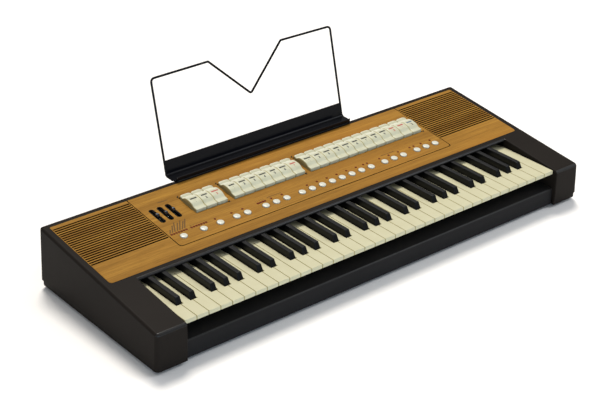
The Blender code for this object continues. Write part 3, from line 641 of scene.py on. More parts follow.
def place(name, bm, mat, body="case", stands_for=(), frame_of=CASE, angle=35.0,
          flat=True):
    """Makes the piece from a bmesh in one of the mm frames and lets it ride."""
    bm.transform(frame_of)
    if frame_of.to_3x3().determinant() < 0:
        bmesh.ops.reverse_faces(bm, faces=bm.faces)
    mesh = bpy.data.meshes.new(name)
    bm.to_mesh(mesh)
    bm.free()
    obj = bpy.data.objects.new(name, mesh)
    bpy.context.scene.collection.objects.link(obj)
    mesh.materials.append(mat)
    mesh.shade_smooth()
    mesh.set_sharp_from_angle(angle=math.radians(angle))
    if flat:
        mod = obj.modifiers.new("even_shading", "WEIGHTED_NORMAL")
        mod.keep_sharp = True
        mod.weight = 100
    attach(obj, body)
    if stands_for:
        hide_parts(*stands_for)
    return obj


# ---------------------------------------------------------------- housing
def side_x(z):
    return CASE_W / 2 - DRAFT * z


def edge_rounder(points_of, stations):
    """A cutter that rounds an edge: one section for each station."""
    return loft([points_of(t) for t in stations])


def corner_section(x, toward, r, steps=6):
    """Cross-section (x, down) of what a rounding of radius r takes off the
    corner at x; the material lies on the "toward" side and below."""
    ring = [(x - 2.0 * toward, 2.0), (x - 2.0 * toward, -r)]
    for k in range(steps + 1):
        a = math.radians(90 * k / steps)
        ring.append((x + toward * (r - r * math.cos(a)), -r + r * math.sin(a)))
    ring.append((x + toward * r, 2.0))
    return ring


def housing():
    low = TRAY_H + 0.3
    bm = wedge(-CASE_W / 2, CASE_W / 2, 0, CASE_D, low, 0, DRAFT, DRAFT)
    for radius, end in ((FRONT_R, -1), (REAR_R, 1)):
        bevel(bm, radius, 12, lambda e: abs(e.verts[0].co.z - e.verts[1].co.z) > 55
              and (mid(e).y - CASE_D / 2) * end > 0)
    bevel(bm, EDGE_R, 9, lambda e: all(abs(v.co.z - top_z(v.co.y)) < 1e-3 for v in e.verts))
    bevel(bm, 0.7, 2, lambda e: all(abs(v.co.z - low) < 1e-4 for v in e.verts))
    pockets = [block(side * TONGUE_X - 17, side * TONGUE_X + 17, CASE_D - WALL - 1.0, CASE_D + 7.3,
                     66, 104) for side in (-1, 1)]
    for pocket in pockets:
        bevel(pocket, 1.6, 4, lambda e: mid(e).y > CASE_D + 0.7 and e.is_convex)
    bm = unite(bm, *pockets)

    z = top_z(NOSE_U)
    arc = [(NOSE_U + EDGE_R - EDGE_R * math.cos(math.radians(a)),
            z - EDGE_R + (EDGE_R + 0.4) * math.sin(math.radians(a)))
           for a in [90.0 * k / 12 for k in range(13)]]
    well = [(-20, -20), (NOSE_U, -20)] + arc + [(NOSE_U + EDGE_R, z + 30), (-20, z + 30)]
    inner = OPEN_HALF + WALL
    shell = CASE_W / 2 - WALL
    tools = [along_x(well, -OPEN_HALF, OPEN_HALF)]
    # The inner top edges of the cheeks, fading out at the nose.
    for side in (-1, 1):
        rings = []
        for s, r in ((-12.0, 2.2), (20.0, 2.2), (80.0, 2.2), (124.0, 2.2), (131.0, 1.9),
                     (137.0, 1.2), (141.5, 0.35), (144.0, 0.05)):
            ring = []
            for x, h in corner_section(side * OPEN_HALF, side, r):
                ring.append((x, s * COS - h * SIN, FRONT_H + s * SIN + h * COS))
            rings.append(ring)
        tools.append(loft(rings))
        # The inner front edges, upright.
        tools.append(loft([[(x, -h, zz) for x, h in corner_section(side * OPEN_HALF, side, 2.0)]
                           for zz in (-10.0, 40.0, 95.0)]))
    hollows = [wedge(-shell, -inner, WALL, 150.5, -10, WALL, DRAFT, 0),
               wedge(inner, shell, WALL, 150.5, -10, WALL, 0, DRAFT),
               wedge(-shell, shell, 148.5, CASE_D - WALL, -10, 6.0, DRAFT, DRAFT)]
    for hollow in hollows:
        bevel(hollow, 6.0, 4, lambda e: abs(e.verts[0].co.z - e.verts[1].co.z) > 40
              and (mid(e).y < 10 or mid(e).y > 300))
    tools += hollows + [wedge(-inner - 1, inner + 1, NOSE_U + WALL, 150.5, -10, WALL + 0.2),
                        block(-OPEN_HALF, OPEN_HALF, NOSE_U - 8, NOSE_U + WALL + 1, -10,
                              NOSE_BOTTOM)]

    def tilted(part):
        part.transform(Matrix.Translation((0.0, 0.0, FRONT_H)) @ Matrix.Rotation(SLOPE, 4, "X"))
        return part

    tools.append(tilted(upright(rounded(-WOOD_HALF - 0.3, WOOD_HALF + 0.3, WOOD_S0 - 0.3,
                                        WOOD_S1 + 0.3, 6.3, 3.3), -WOOD_T - 0.3, 15)))
    tools.append(tilted(upright(rounded(-WOOD_HALF + 6, WOOD_HALF - 6, WOOD_S0 + 6, WOOD_S1 - 6,
                                        4, 3, 4), -20, 5)))
    tools.append(block(-280, 280, CASE_D - WALL - 5, CASE_D + 5, 18, 58))
    for side in (-1, 1):
        x = side * TONGUE_X
        tools.append(block(x - 12.6, x + 12.6, CASE_D + 0.6, CASE_D + 4.2, 50, 120))
    # Counterbores for the rear screws.
    for x in (-440, -320, 320, 440):
        bore = turned([(0, -2.0), (4.4, -2.0), (4.4, 8.0), (0, 8.0)], 28)
        bore.transform(Matrix.Translation((x, CASE_D, 26.0)) @ Matrix.Rotation(-math.pi / 2, 4, "X"))
        tools.append(bore)
    bm = cut(bm, *tools)

    # Soft edges round the wood recess and the rear window.
    def rim(e):
        if not sharp_edge(e, 60):
            return False
        c = mid(e)
        h = (c.z - FRONT_H) * COS - c.y * SIN
        if abs(h) < 0.02 and abs(c.x) <= WOOD_HALF + 0.4 and c.y > 145:
            return True
        return abs(c.y - CASE_D) < 0.02 and abs(c.x) < 281 and 17 < c.z < 59
    bevel(bm, 0.5, 2, rim)
    shell_obj = place("housing_shell", bm, CASE_PLASTIC,
                      stands_for=["upper_housing"])
    # The rounded front edges of the cheeks and the nose are smooth, not grained.
    shell_obj.data.materials.append(CASE_EDGE)
    for face in shell_obj.data.polygons:
        u = face.center.y / MM - Y0
        if 0.2 < face.normal.z < 0.985 and face.normal.y < -0.12 and (u < 5.2 or 137.9 < u < 143.2):
            face.material_index = 1

    for k, x in enumerate((-440, -320, 320, 440)):
        screw = pan_screw(3.8, 1.6)
        screw.transform(Matrix.Translation((x, CASE_D - 1.8, 26.0))
                        @ Matrix.Rotation(-math.pi / 2, 4, "X"))
        place(f"rear_screw_{k + 1}", screw, SCREW_DARK)


def pan_screw(r, height, count=28):
    """A domed screw head with a cross recess; the head stands on z = 0."""
    profile = [(0.0, 0.0), (r, 0.0)]
    for k in range(7):
        a = math.radians(90 * k / 6)
        profile.append((r * math.cos(a) * 0.999, height * math.sin(a)) if k < 6 else (0.0, height))
    head = turned(profile, count)
    arm, wide = r * 0.62, r * 0.16
    return cut(head, block(-arm, arm, -wide, wide, height * 0.42, height + 2),
               block(-wide, wide, -arm, arm, height * 0.42, height + 2))


def tray():
    def outline(inset, front, r):
        half = side_x(TRAY_H) - inset
        notch = OPEN_HALF + 0.6
        path = [(-half, inset), (-notch, inset), (-notch, front), (notch, front),
                (notch, inset), (half, inset), (half, CASE_D - inset), (-half, CASE_D - inset)]
        out = []
        for i, point in enumerate(path):
            a, c = path[i - 1], path[(i + 1) % len(path)]
            radius = r if i in (0, 5, 6, 7) else 1.2
            out += arc_corner(a, point, c, radius, 6)
        return out
    bm = upright(outline(TRAY_INSET, 12.0, 8.0), 0, TRAY_H)
    bevel(bm, 1.4, 4, lambda e: all(abs(v.co.z) < 1e-4 for v in e.verts))
    tools = [upright(outline(TRAY_INSET + 4.0, 16.0, 5.0), 2.5, 30.0)]
    # Shallow sinks for the screws and blind cooling grooves under the mains.
    places = [(x, u) for x in (-450, -230, 0, 230, 450) for u in (22 if abs(x) > 430 else 70, 322)]
    for x, u in places:
        tools.append(turned([(0, -3), (5.2, -3), (5.2, 0.9), (0, 0.9)], 28, (x, u)))
    for k in range(9):
        tools.append(upright(rounded(285 + 10 * k, 289 + 10 * k, 262, 316, 1.99, 1.99, 6), -3, 1.1))
    bm = cut(bm, *tools)
    place("bottom_tray", bm, CASE_PLASTIC, stands_for=["base_tray"])
    for k, (x, u) in enumerate(places):
        screw = pan_screw(4.3, 0.75)
        screw.transform(Matrix.Translation((x, u, 0.9)) @ Matrix.Rotation(math.pi, 4, "X"))
        place(f"tray_screw_{k + 1}", screw, STEEL)


def rail():
    front = arc_corner((7.9, 0.0), (7.9, 33.6), (44.0, 35.5), 2.6, 8)
    profile = [(8.7, 0.0), (7.9, 0.8)] + front + [(43.4, 35.47), (44.0, 34.8), (44.0, 32.5),
                                                  (11.3, 30.5), (11.3, 0.0)]
    half = OPEN_HALF - 0.4
    obj = place("key_slip_rail", along_x(profile, -half, half), RAIL_PLASTIC,
                stands_for=["front_rail"], angle=30)
    obj.data.materials.append(CASE_EDGE)
    for face in obj.data.polygons:
        if 0.2 < face.normal.z < 0.985 and face.normal.y < -0.12:
            face.material_index = 1


# ---------------------------------------------------------------- wood panels
def on_top(e):
    return all(abs(v.co.z) < 1e-4 for v in e.verts)


def shade_cut_edges(obj):
    """The cut edges of the veneer, with the slots' walls, are coloured dark: painted shade for the seams and the
    slots.
    """
    obj.data.materials.append(WOOD_EDGE_SHADE)
    up = ON_SLOPE.to_3x3().normalized() @ Vector((0.0, 0.0, 1.0))
    for face in obj.data.polygons:
        if face.normal.dot(up) < 0.25:
            face.material_index = 1


def wood_panels():
    bm = upright(rounded(-WOOD_HALF, WOOD_HALF, WOOD_S0, WOOD_S1, 6.0, 3.0, 10), -WOOD_T, 0)
    tools = [upright(rounded(CTRL_X0 - SEAM, CTRL_X1 + SEAM, CTRL_S0 - SEAM, WOOD_S1 + 20,
                             6.5, 0, 10), -10, 10)]
    slots = []
    for x0, x1 in ((-WOOD_HALF + 1.2, CTRL_X0 - SEAM - 1.2),
                   (CTRL_X1 + SEAM + 1.2, WOOD_HALF - 1.2)):
        for k in range(SLOT_COUNT):
            s = SLOT_S0 + SLOT_PITCH * k
            slots.append(block(x0, x1, s - SLOT_W / 2, s + SLOT_W / 2, -10, 10))
    tools.append(together(*slots))
    bm = cut(bm, *tools)
    bevel(bm, 0.28, 2, lambda e: sharp_edge(e, 60) and on_top(e))
    shade_cut_edges(place("grille_and_front_veneer", bm, WOOD,
                      stands_for=["speaker_panel"], frame_of=ON_SLOPE, angle=30))

    bm = upright(rounded(CTRL_X0, CTRL_X1, CTRL_S0, WOOD_S1, 6.0, 0, 10), -WOOD_T, 0)
    tools = []
    for x, count in TAB_BANKS:
        tools.append(upright(rounded(x - 0.7, x + TAB_PITCH * count - TAB_GAP + 0.7,
                                     TAB_S0 - 1.2, TAB_S1 + 0.8, 0, 0), -10, 10))
    for _, places in button_places():
        for x in places:
            tools.append(upright(circle(x, BUTTON_S, BUTTON_R + 0.5, 40), -10, 10))
    for x in SLIDER_X:
        tools.append(upright(rounded(x - SLIDER_SLOT_W / 2, x + SLIDER_SLOT_W / 2, *SLIDER_SLOT,
                                     SLIDER_SLOT_W / 2 - 0.01, SLIDER_SLOT_W / 2 - 0.01, 10), -10, 10))
    bm = cut(bm, together(*tools))
    bevel(bm, 0.28, 2, lambda e: sharp_edge(e, 60) and on_top(e))
    shade_cut_edges(place("control_veneer", bm, WOOD,
                      stands_for=["control_panel"], frame_of=ON_SLOPE, angle=30))


def grille_cloths():
    """Cloth stretched under the slots, in front of each loudspeaker."""
    for name, x0, x1 in (("left", -461.0, CTRL_X0 - 1.0), ("right", CTRL_X1 + 1.0, 461.0)):
        s0, s1 = 205.0, 333.0
        bm = bmesh.new()
        nx, ns = 60, 50
        grid = []
        for j in range(ns + 1):
            row = []
            for i in range(nx + 1):
                a, b = i / nx, j / ns
                sag = 0.35 * math.sin(math.pi * a) * math.sin(math.pi * b)
                thread = 0.03 * math.sin(37.0 * a + 3.0 * b) * math.sin(29.0 * b)
                row.append(bm.verts.new((x0 + (x1 - x0) * a, s0 + (s1 - s0) * b,
                                         -3.55 - sag + thread)))
            grid.append(row)
        for j in range(ns):
            for i in range(nx):
                bm.faces.new((grid[j][i], grid[j][i + 1], grid[j + 1][i + 1], grid[j + 1][i]))
        obj = place(f"grille_cloth_{name}", bm, CLOTH, frame_of=ON_SLOPE,
                    flat=False)


# ---------------------------------------------------------------- keys
WHITE_NAMES = ("c", "d", "e", "f", "g", "a", "b")


def white_outline(index, octave_x, top_c, gap):
    x0 = octave_x + index * PITCH + gap / 2
    x1 = octave_x + (index + 1) * PITCH - gap / 2
    left, right = x0, x1
    if not top_c:
        for centre in SHARP_CENTRES.values():
            c = octave_x + centre * PITCH
            half = SHARP_W / 2 + NOTCH_GAP
            if x0 - PITCH / 2 < c < x0 + PITCH * 0.35:
                left = c + half
            if x1 - PITCH * 0.35 < c < x1 + PITCH / 2:
                right = c - half
    return x0, x1, left, right


def white_key(name, index, octave_x, body, node, top_c=False):
    """The moulded cover with rounded lip and notches, its lowered tail and
    the pivot lug under it."""
    gap = 0.36
    x0, x1, left, right = white_outline(index, octave_x, top_c, gap)
    neck = SHARP_U - 1.0
    front = arc_corner((x0, 60.0), (x0, KEY_U), (x1, KEY_U), 1.1, 5) \
        + arc_corner((x0, KEY_U), (x1, KEY_U), (x1, 60.0), 1.1, 5)
    points = list(front)
    if right != x1:
        points += [(x1, neck), (right, neck)]
    points += [(right, WHITE_END + 1.0), (left, WHITE_END + 1.0)]
    if left != x0:
        points += [(left, neck), (x0, neck)]
    cover = upright(points, KEY_TOP - KEY_T, KEY_TOP)
    top = lambda e: all(abs(v.co.z - KEY_TOP) < 1e-4 for v in e.verts)
    bevel(cover, 1.0, 4, lambda e: top(e) and mid(e).y < WHITE_END)
    low = lambda e: all(abs(v.co.z - KEY_TOP + KEY_T) < 1e-4 for v in e.verts)
    bevel(cover, 0.4, 2, lambda e: low(e) and mid(e).y < neck - 1)
    tail = block(left, right, WHITE_END + 1.0, 214.0, KEY_TOP - KEY_T, KEY_TOP - 1.6)
    lug = block(left + 0.3, right - 0.3, 205, 213.4, 57, KEY_TOP - KEY_T)
    # Weight bar and a guide under the playing end.
    guide = block((x0 + x1) / 2 - 5, (x0 + x1) / 2 + 5, 30.0, 46.0, KEY_TOP - KEY_T - 3.0,
                  KEY_TOP - KEY_T)
    bevel(guide, 0.8, 2, lambda e: mid(e).z < KEY_TOP - KEY_T - 0.5)
    key = place(name, together(cover, tail, lug, guide), IVORY, body=body,
                stands_for=[node], angle=32)
    # The side faces take the darker khaki copy: painted shade in the gaps between keys.
    key.data.materials.append(IVORY_FLANK_SHADE)
    for face in key.data.polygons:
        if abs(face.normal.x) > 0.35:
            face.material_index = 1


def black_key(name, centre, octave_x, body, node):
    """Tapered block with a sloping front, rounded along its top edges."""
    c = octave_x + centre * PITCH
    base, top = SHARP_W / 2, SHARP_TOP_W / 2
    low, high = 66.0, KEY_TOP + SHARP_H
    sections = []
    for u, z, half in ((SHARP_U, KEY_TOP + 0.8, base - 0.1), (SHARP_U + SHARP_RUN, high, top),
                       (146.0, high, top), (150.0, KEY_TOP - 0.5, base - 0.1),
                       (226.0, KEY_TOP - 0.5, base - 0.1)):
        sections.append([(c - base, u, low), (c + base, u, low), (c + half, u, z), (c - half, u, z)])
    bm = loft(sections)
    bmesh.ops.dissolve_limit(bm, angle_limit=math.radians(0.5), verts=bm.verts, edges=bm.edges)

    def upper(e):
        p = mid(e)
        return sharp_edge(e, 20) and p.z > low + 1.0 and p.y < 160
    bevel(bm, 1.25, 5, upper)
    place(name, bm, EBONY, body=body, stands_for=[node], angle=40)


def keys():
    for octave in range(5):
        octave_x = LEFT_END + octave * 7 * PITCH
        single = octave == 2
        for i, note in enumerate(WHITE_NAMES):
            node = f"key_{note}" if single else f"white_keys_octave_{octave + 1}"
            white_key(f"white_key_{octave + 1}_{note}", i, octave_x, node, node)
        for note, centre in SHARP_CENTRES.items():
            node = f"key_{note}" if single else f"black_keys_octave_{octave + 1}"
            black_key(f"black_key_{octave + 1}_{note}", centre, octave_x, node, node)
    white_key("white_key_6_c", 0, LEFT_END + 35 * PITCH, "key_top_c", "key_top_c", top_c=True)


# ---------------------------------------------------------------- controls
# Upper line of a stop tab, (s, h): a flat finger pad in front, a steep rise to
# the marked face, a valley over the rocker's axle and a low rounded rear hump.
TAB_LINE = ((248.3, 5.35), (252.0, 5.40), (255.2, 5.50), (257.2, 6.15), (259.3, 7.45),
            (261.3, 8.75), (263.4, 9.65), (266.4, 10.30), (270.5, 10.75), (275.0, 10.85),
            (279.0, 10.60), (282.4, 9.75), (285.8, 8.10), (288.6, 6.10), (290.8, 5.00),
            (292.6, 5.05), (294.4, 5.90), (296.4, 6.30), (298.2, 5.95))
TAB_CURVE = smooth_line(TAB_LINE, 3)


def tab_height(s):
    s -= TAB_SHIFT
    for (s0, h0), (s1, h1) in zip(TAB_CURVE, TAB_CURVE[1:]):
        if s0 <= s <= s1:
            return h0 + (h1 - h0) * (s - s0) / (s1 - s0)
    return TAB_CURVE[0][1] if s < TAB_CURVE[0][0] else TAB_CURVE[-1][1]


def tab_shape(left, right):
    front = arc_corner((247.1, -2.0), (246.95, 5.25), (250.0, 5.40), 1.3, 5)
    rear = arc_corner((297.0, 6.4), (300.15, 5.2), (300.2, 0.0), 1.5, 5)
    line = [p for p in TAB_CURVE if front[-1][0] + 0.3 < p[0] < rear[0][0] - 0.3]
    profile = [(247.2, -7.0)] + front + line + rear + [(300.2, -2.0), (297.0, -8.0),
                                                      (289.0, -8.0), (286.0, -6.0)]
    r, pillow, lip = 2.1, 6.2, 3.2
    sections = []
    rows = (0.0, 0.12, 0.42, 1.0, 2.1, 2.6, 3.3, 4.6, 6.2)
    # Rounded flanks, and corners rounded in plan at the rear and the front.
    for t, mirror in [(t, False) for t in rows] + [(t, True) for t in reversed(rows)]:
        d = r - math.sqrt(max(0.0, r * r - (r - t) ** 2)) if t < r else 0.0
        back = pillow - math.sqrt(max(0.0, pillow ** 2 - (pillow - t) ** 2)) if t < pillow else 0.0
        fore = lip - math.sqrt(max(0.0, lip ** 2 - (lip - t) ** 2)) if t < lip else 0.0
        back, fore = max(0.0, back - d) * 0.95, max(0.0, fore - d)
        section = []
        for s, h in inset(profile, d):
            if s > 289.0:
                s -= back * (s - 289.0) / 11.2
            if s < 250.0:
                s += fore * min(1.0, (250.0 - s) / 3.1)
            section.append((right - t if mirror else left + t, s + TAB_SHIFT, h))
        sections.append(section)
    return loft(sections)


def inset(points, d):
    """A closed (s, h) outline moved inwards by d."""
    if d < 1e-9:
        return list(points)
    area = sum(a[0] * b[1] - b[0] * a[1] for a, b in zip(points, points[1:] + points[:1]))
    turn = 1.0 if area > 0 else -1.0
    out = []
    for i, b in enumerate(points):
        a, c = points[i - 1], points[(i + 1) % len(points)]
        d1 = (Vector(b) - Vector(a)).normalized()
        d2 = (Vector(c) - Vector(b)).normalized()
        n1 = Vector((-d1.y, d1.x)) * turn
        n2 = Vector((-d2.y, d2.x)) * turn
        n = (n1 + n2).normalized()
        p = Vector(b) + n * (d / max(0.6, n.dot(n1)))
        out.append((p.x, p.y))
    return out


def digits(text, size, centre, surface, rise=0.07):
    """Plain numerals as thin raised print that follows a surface h = f(s)."""
    curve = bpy.data.curves.new("digits", "FONT")
    curve.body = text
    curve.size = size * 1.38
    curve.align_x = "CENTER"
    curve.align_y = "CENTER"
    curve.resolution_u = 4
    curve.offset = 0.05 * size
    obj = bpy.data.objects.new("digits", curve)
    bpy.context.scene.collection.objects.link(obj)
    bpy.context.view_layer.update()
    mesh = bpy.data.meshes.new_from_object(obj.evaluated_get(bpy.context.evaluated_depsgraph_get()))
    bpy.data.objects.remove(obj, do_unlink=True)
    bpy.data.curves.remove(curve)
    bm = bmesh.new()
    bm.from_mesh(mesh)
    bpy.data.meshes.remove(mesh)
    cx, cs = centre
    made = bmesh.ops.extrude_face_region(bm, geom=bm.faces[:])
    upper = {v for v in made["geom"] if isinstance(v, bmesh.types.BMVert)}
    for v in bm.verts:
        x, s = cx + v.co.x, cs + v.co.y
        v.co = (x, s, surface(s) + (rise if v in upper else -0.05))
    bmesh.ops.recalc_face_normals(bm, faces=bm.faces)
    return bm


def stroke(points, width, surface, rise=0.07):
    """A printed line of this width through (x, s) points on a surface."""
    sections = []
    for i, p in enumerate(points):
        a, c = Vector(points[max(i - 1, 0)]), Vector(points[min(i + 1, len(points) - 1)])
        d = (c - a).normalized()
        n = Vector((-d.y, d.x)) * (width / 2)
        q = Vector(p)
        s0, s1 = q - n, q + n
        sections.append([(s0.x, s0.y, surface(s0.y) - 0.05), (s1.x, s1.y, surface(s1.y) - 0.05),
                         (s1.x, s1.y, surface(s1.y) + rise), (s0.x, s0.y, surface(s0.y) + rise)])
    return loft(sections)


FLAT = lambda s: 0.0


def stop_tabs():
    number = 0
    for bank, (x, count) in enumerate(TAB_BANKS):
        for k in range(count):
            left = x + TAB_PITCH * k
            right = left + TAB_PITCH - TAB_GAP
            number += 1
            body = f"stop_tab_{number}" if bank == 0 else f"stop_tab_bank_{bank + 1}"
            wider = 0.40 if bank == 0 else 0.465
            tab = place(f"tab_{number:02d}", tab_shape(left - wider, right + wider), TAB, body=body,
                        stands_for=[body], frame_of=ON_SLOPE, angle=38)
            tab.data.materials.append(TAB_FLANK_SHADE)
            tab.data.materials.append(TAB_GROOVE_SHADE)
            tab.data.materials.append(TAB_HUMP_LIT)
            # Side faces get painted shade: darker at the ends of a bank, softer in the grooves between tabs.
            for face in tab.data.polygons:
                if abs(face.normal.x) > 0.60:
                    outer = k == 0 if face.normal.x < 0 else k == count - 1
                    face.material_index = 1 if outer else 2
                # Faces turned up and to the rear get the whiter copy: painted light.
                elif face.normal.y > 0.0 and face.normal.z > 0.3:
                    face.material_index = 3
            centre = (left + right) / 2
            ink = INK_GREY
            if (bank, k) in ((0, 2), (1, 6), (2, 9), (2, 10)):
                ink = INK_RED
            if (bank, k) == (2, 11):
                ink = INK_BLUE
            half = (5.8, 7.4, 6.2, 6.9)[(number * 7) % 4]
            line = stroke([(centre - half + 2 * half * j / 6, 273.4 + TAB_SHIFT) for j in range(7)], 3.4,
                          tab_height)
            place(f"tab_line_{number:02d}", line, ink, body=body,
                  frame_of=ON_SLOPE, flat=False)
            place(f"tab_number_{number:02d}",
                  digits(str(k + 1), 5.0, (centre, 265.6 + TAB_SHIFT), tab_height),
                  INK_SLATE if ink is not INK_RED else INK_RED, body=body,
                  frame_of=ON_SLOPE, flat=False)


def button_places():
    for group, (x, count) in enumerate(BUTTON_GROUPS):
        yield group, [x + BUTTON_STEP * k for k in range(count)]


def push_buttons():
    number = 0
    for group, places in button_places():
        body = f"button_{group + 1}" if len(places) == 1 else f"button_group_{group + 1}"
        for x in places:
            number += 1
            r, top, edge = BUTTON_R, BUTTON_TOP, 1.0
            profile = [(0.0, -6.0), (r, -6.0), (r, top - 0.55 - edge)]
            for k in range(1, 6):
                a = math.radians(78 * k / 5)
                profile.append((r - edge + edge * math.cos(a), top - 0.55 - edge + edge * math.sin(a)))
            start_r, start_z = profile[-1]
            for k in range(1, 7):
                t = k / 6
                profile.append((start_r * (1 - t), start_z + (top - start_z) * (1 - (1 - t) ** 2)))
            profile[-1] = (0.0, top)
            place(f"push_button_{number:02d}", turned(profile, 40, (x, BUTTON_S)), BUTTON, body=body,
                  stands_for=[body], frame_of=ON_SLOPE, angle=50,
                  flat=False)
            if x == places[0] and len(places) > 1:
                bar = upright(rounded(places[0] - 3, places[-1] + 3, BUTTON_S - 2.5, BUTTON_S + 2.5,
                                      0.8, 0.8, 3), -8.5, -6.0)
                place(f"button_bar_{group + 1}", bar, BUTTON, body=body,
                      frame_of=ON_SLOPE)


LAMP_X = [-305.8 + 5.14 * k for k in range(7)] + [-264.4 + 5.14 * k for k in range(7)] \
    + [-214.6, -179.4, -155.6, -91.6, -67.6, -9.3, 14.0, 37.0, 60.4, 84.0, 107.2, 125.2, 134.6,
       165.2, 188.4, 212.1, 241.8, 252.2, 270.2, 294.0]
LAMP_ROW = [-122.0 + 4.1 * k for k in range(5)]


def lamps():
    parts = []
    for x, s in [(x, 213.0) for x in LAMP_X] + [(x, 212.2) for x in LAMP_ROW]:
        r = 2.25
        profile = [(0.0, -2.0), (r, -2.0), (r, 0.15)]
        profile += [(r * math.cos(math.radians(a)), 0.15 + 0.6 * math.sin(math.radians(a)))
                    for a in (22, 45, 68)] + [(0.0, 0.75)]
        parts.append(turned(profile, 16, (x, s)))
    place("indicator_lamps", together(*parts), LAMP, frame_of=ON_SLOPE,
          angle=50, flat=False)


def slide_controls():
    for k, (x, s) in enumerate(zip(SLIDER_X, SLIDER_S)):
        # Black liner with a slit for the stem, sunk in the slot.
        half, s0, s1 = SLIDER_SLOT_W / 2 - 0.12, SLIDER_SLOT[0] + 0.12, SLIDER_SLOT[1] - 0.12
        liner = upright(rounded(x - half, x + half, s0, s1, half - 0.01, half - 0.01, 10), -2.6, -0.5)
        slit = upright(rounded(x - 2.1, x + 2.1, s0 + 0.5, s1 - 0.5, 2.0, 2.0, 6), -9, 9)
        liner = cut(liner, slit)
        bevel(liner, 0.25, 2, lambda e: sharp_edge(e, 60) and mid(e).z > -0.6)
        place(f"slot_liner_{k + 1}", liner, KNOB, frame_of=ON_SLOPE)
        # A thin black surround on the panel, a little wider than the slot.
        w = SLIDER_SLOT_W / 2 + 1.2
        ring = upright(rounded(x - w, x + w, SLIDER_SLOT[0] - 0.3, SLIDER_SLOT[1] + 1.0,
                               w - 0.01, w - 0.01, 12), 0.02, 0.42)
        ring = cut(ring, upright(rounded(x - half, x + half, s0, s1, half - 0.01, half - 0.01, 10),
                                 -3, 3))
        bevel(ring, 0.18, 2, lambda e: sharp_edge(e, 60) and mid(e).z > 0.4)
        place(f"slot_surround_{k + 1}", ring, KNOB, frame_of=ON_SLOPE)
        # Knob: a waisted grip with ribs and a white pointer line.
        body = f"slider_{k + 1}"
        line = smooth_line([(s - 4.3, 1.0), (s - 4.0, 2.8), (s - 3.3, 4.7), (s - 2.1, 5.6),
                            (s - 0.8, 5.45), (s + 0.8, 5.45), (s + 2.1, 5.6), (s + 3.3, 4.7),
                            (s + 4.0, 2.8), (s + 4.3, 1.0)], 3)
        sections = []
        r = 0.8
        ends = [(x - 2.8 + r - r * math.cos(math.radians(a)), r - r * math.sin(math.radians(a)))
                for a in (0, 30, 60)]
        rows = ends + [(x - 2.8 + r, 0.0), (x + 2.8 - r, 0.0)] \
            + [(2 * x - px, d) for px, d in reversed(ends)]
        for px, d in rows:
            sections.append([(px, a, b) for a, b in inset(line, d)])
        grip = loft(sections)
        ribs = [block(x - 5, x + 5, s + 0.0 + o - 0.22, s + o + 0.22, h, 12)
                for o, h in ((-2.7, 4.5), (-1.7, 5.1), (1.7, 5.1), (2.7, 4.5))]
        grip = cut(grip, *ribs)
        stem = block(x - 1.6, x + 1.6, s - 2.4, s + 2.4, -9, 1.2)
        foot = block(x - 4.5, x + 4.5, s - 6, s + 6, -11.5, -8.6)
        place(f"slider_knob_{k + 1}", together(grip, stem, foot), KNOB_GRIP, body=body,
              stands_for=[body], frame_of=ON_SLOPE)
        mark = block(x - 2.2, x + 2.2, s - 0.45, s + 0.45, 5.3, 5.52)
        place(f"slider_mark_{k + 1}", mark, INK_PALE, body=body,
              frame_of=ON_SLOPE, flat=False)


def panel_screws():
    for k, (x, s) in enumerate(((-231.6, 300.2), (-161.9, 245.1), (-148.1, 300.0), (12.9, 245.0),
                                (26.0, 300.4), (304.8, 245.6))):
        # At the corner of each cut-out the head sits on the veneer.
        dx = 1.0 if k % 2 == 0 else 1.2
        ds = 2.6 if k % 2 == 0 else -1.6
        screw = pan_screw(1.6, 0.7, 16)
        screw.transform(Matrix.Translation((x + dx, s + ds, 0.0)))
        place(f"panel_screw_{k + 1}", screw, SCREW_DARK, frame_of=ON_SLOPE,
              flat=False)


def panel_print():
    """Thin generic lines where the panel carries its printing."""
    lines, faint = [], []
    lows = [-305.7 + 5.03 * k for k in range(7)]
    tips = ((-299.8, 224.6), (-289.7, 233.3), (-281.8, 240.2), (-276.9, 236.2), (-269.2, 239.8),
            (-265.2, 235.7), (-259.2, 239.1))
    for low, tip in zip(lows, tips):
        faint.append(stroke([(low, 217.4), (tip[0], tip[1] + 1.6)], 2.2, FLAT))
    lines.append(stroke([(-96.9, 218.8), (-65.0, 218.8)], 1.0, FLAT))
    lines.append(stroke([(174.2, 219.1), (206.6, 219.1)], 1.0, FLAT))
    for x in [-122.0 + 4.1 * k for k in range(5)]:
        lines.append(stroke([(x, 217.3), (x, 220.1)], 0.6, FLAT))
    faint.append(stroke([(-271.0, 306.6), (-250.5, 305.0)], 1.5, FLAT))
    for x in (-264.4, -233.6):
        lines.append(stroke([(x, 215.9), (x, 218.7)], 0.6, FLAT))
    lines.append(stroke([(-264.4, 218.7), (-233.6, 218.7)], 0.6, FLAT))
    # Scale ticks beside the slide controls.
    for x in SLIDER_X:
        for j in range(6):
            s = 254.6 + 7.0 * j
            lines.append(stroke([(x + 5.2, s), (x + (7.6 if j in (0, 5) else 6.6), s)], 0.45, FLAT))
    place("panel_print", together(*lines), INK_BROWN, frame_of=ON_SLOPE,
          flat=False)
    place("panel_print_faint", together(*faint), INK_FAINT, frame_of=ON_SLOPE,
          flat=False)


# ---------------------------------------------------------------- music rest
def rest_point(x, up, back=0.0):
    u = 372.6 + up * math.sin(REST_LEAN) + back * math.cos(REST_LEAN)
    z = 140.7 + up * math.cos(REST_LEAN) - back * math.sin(REST_LEAN)
    return (x, u, z)


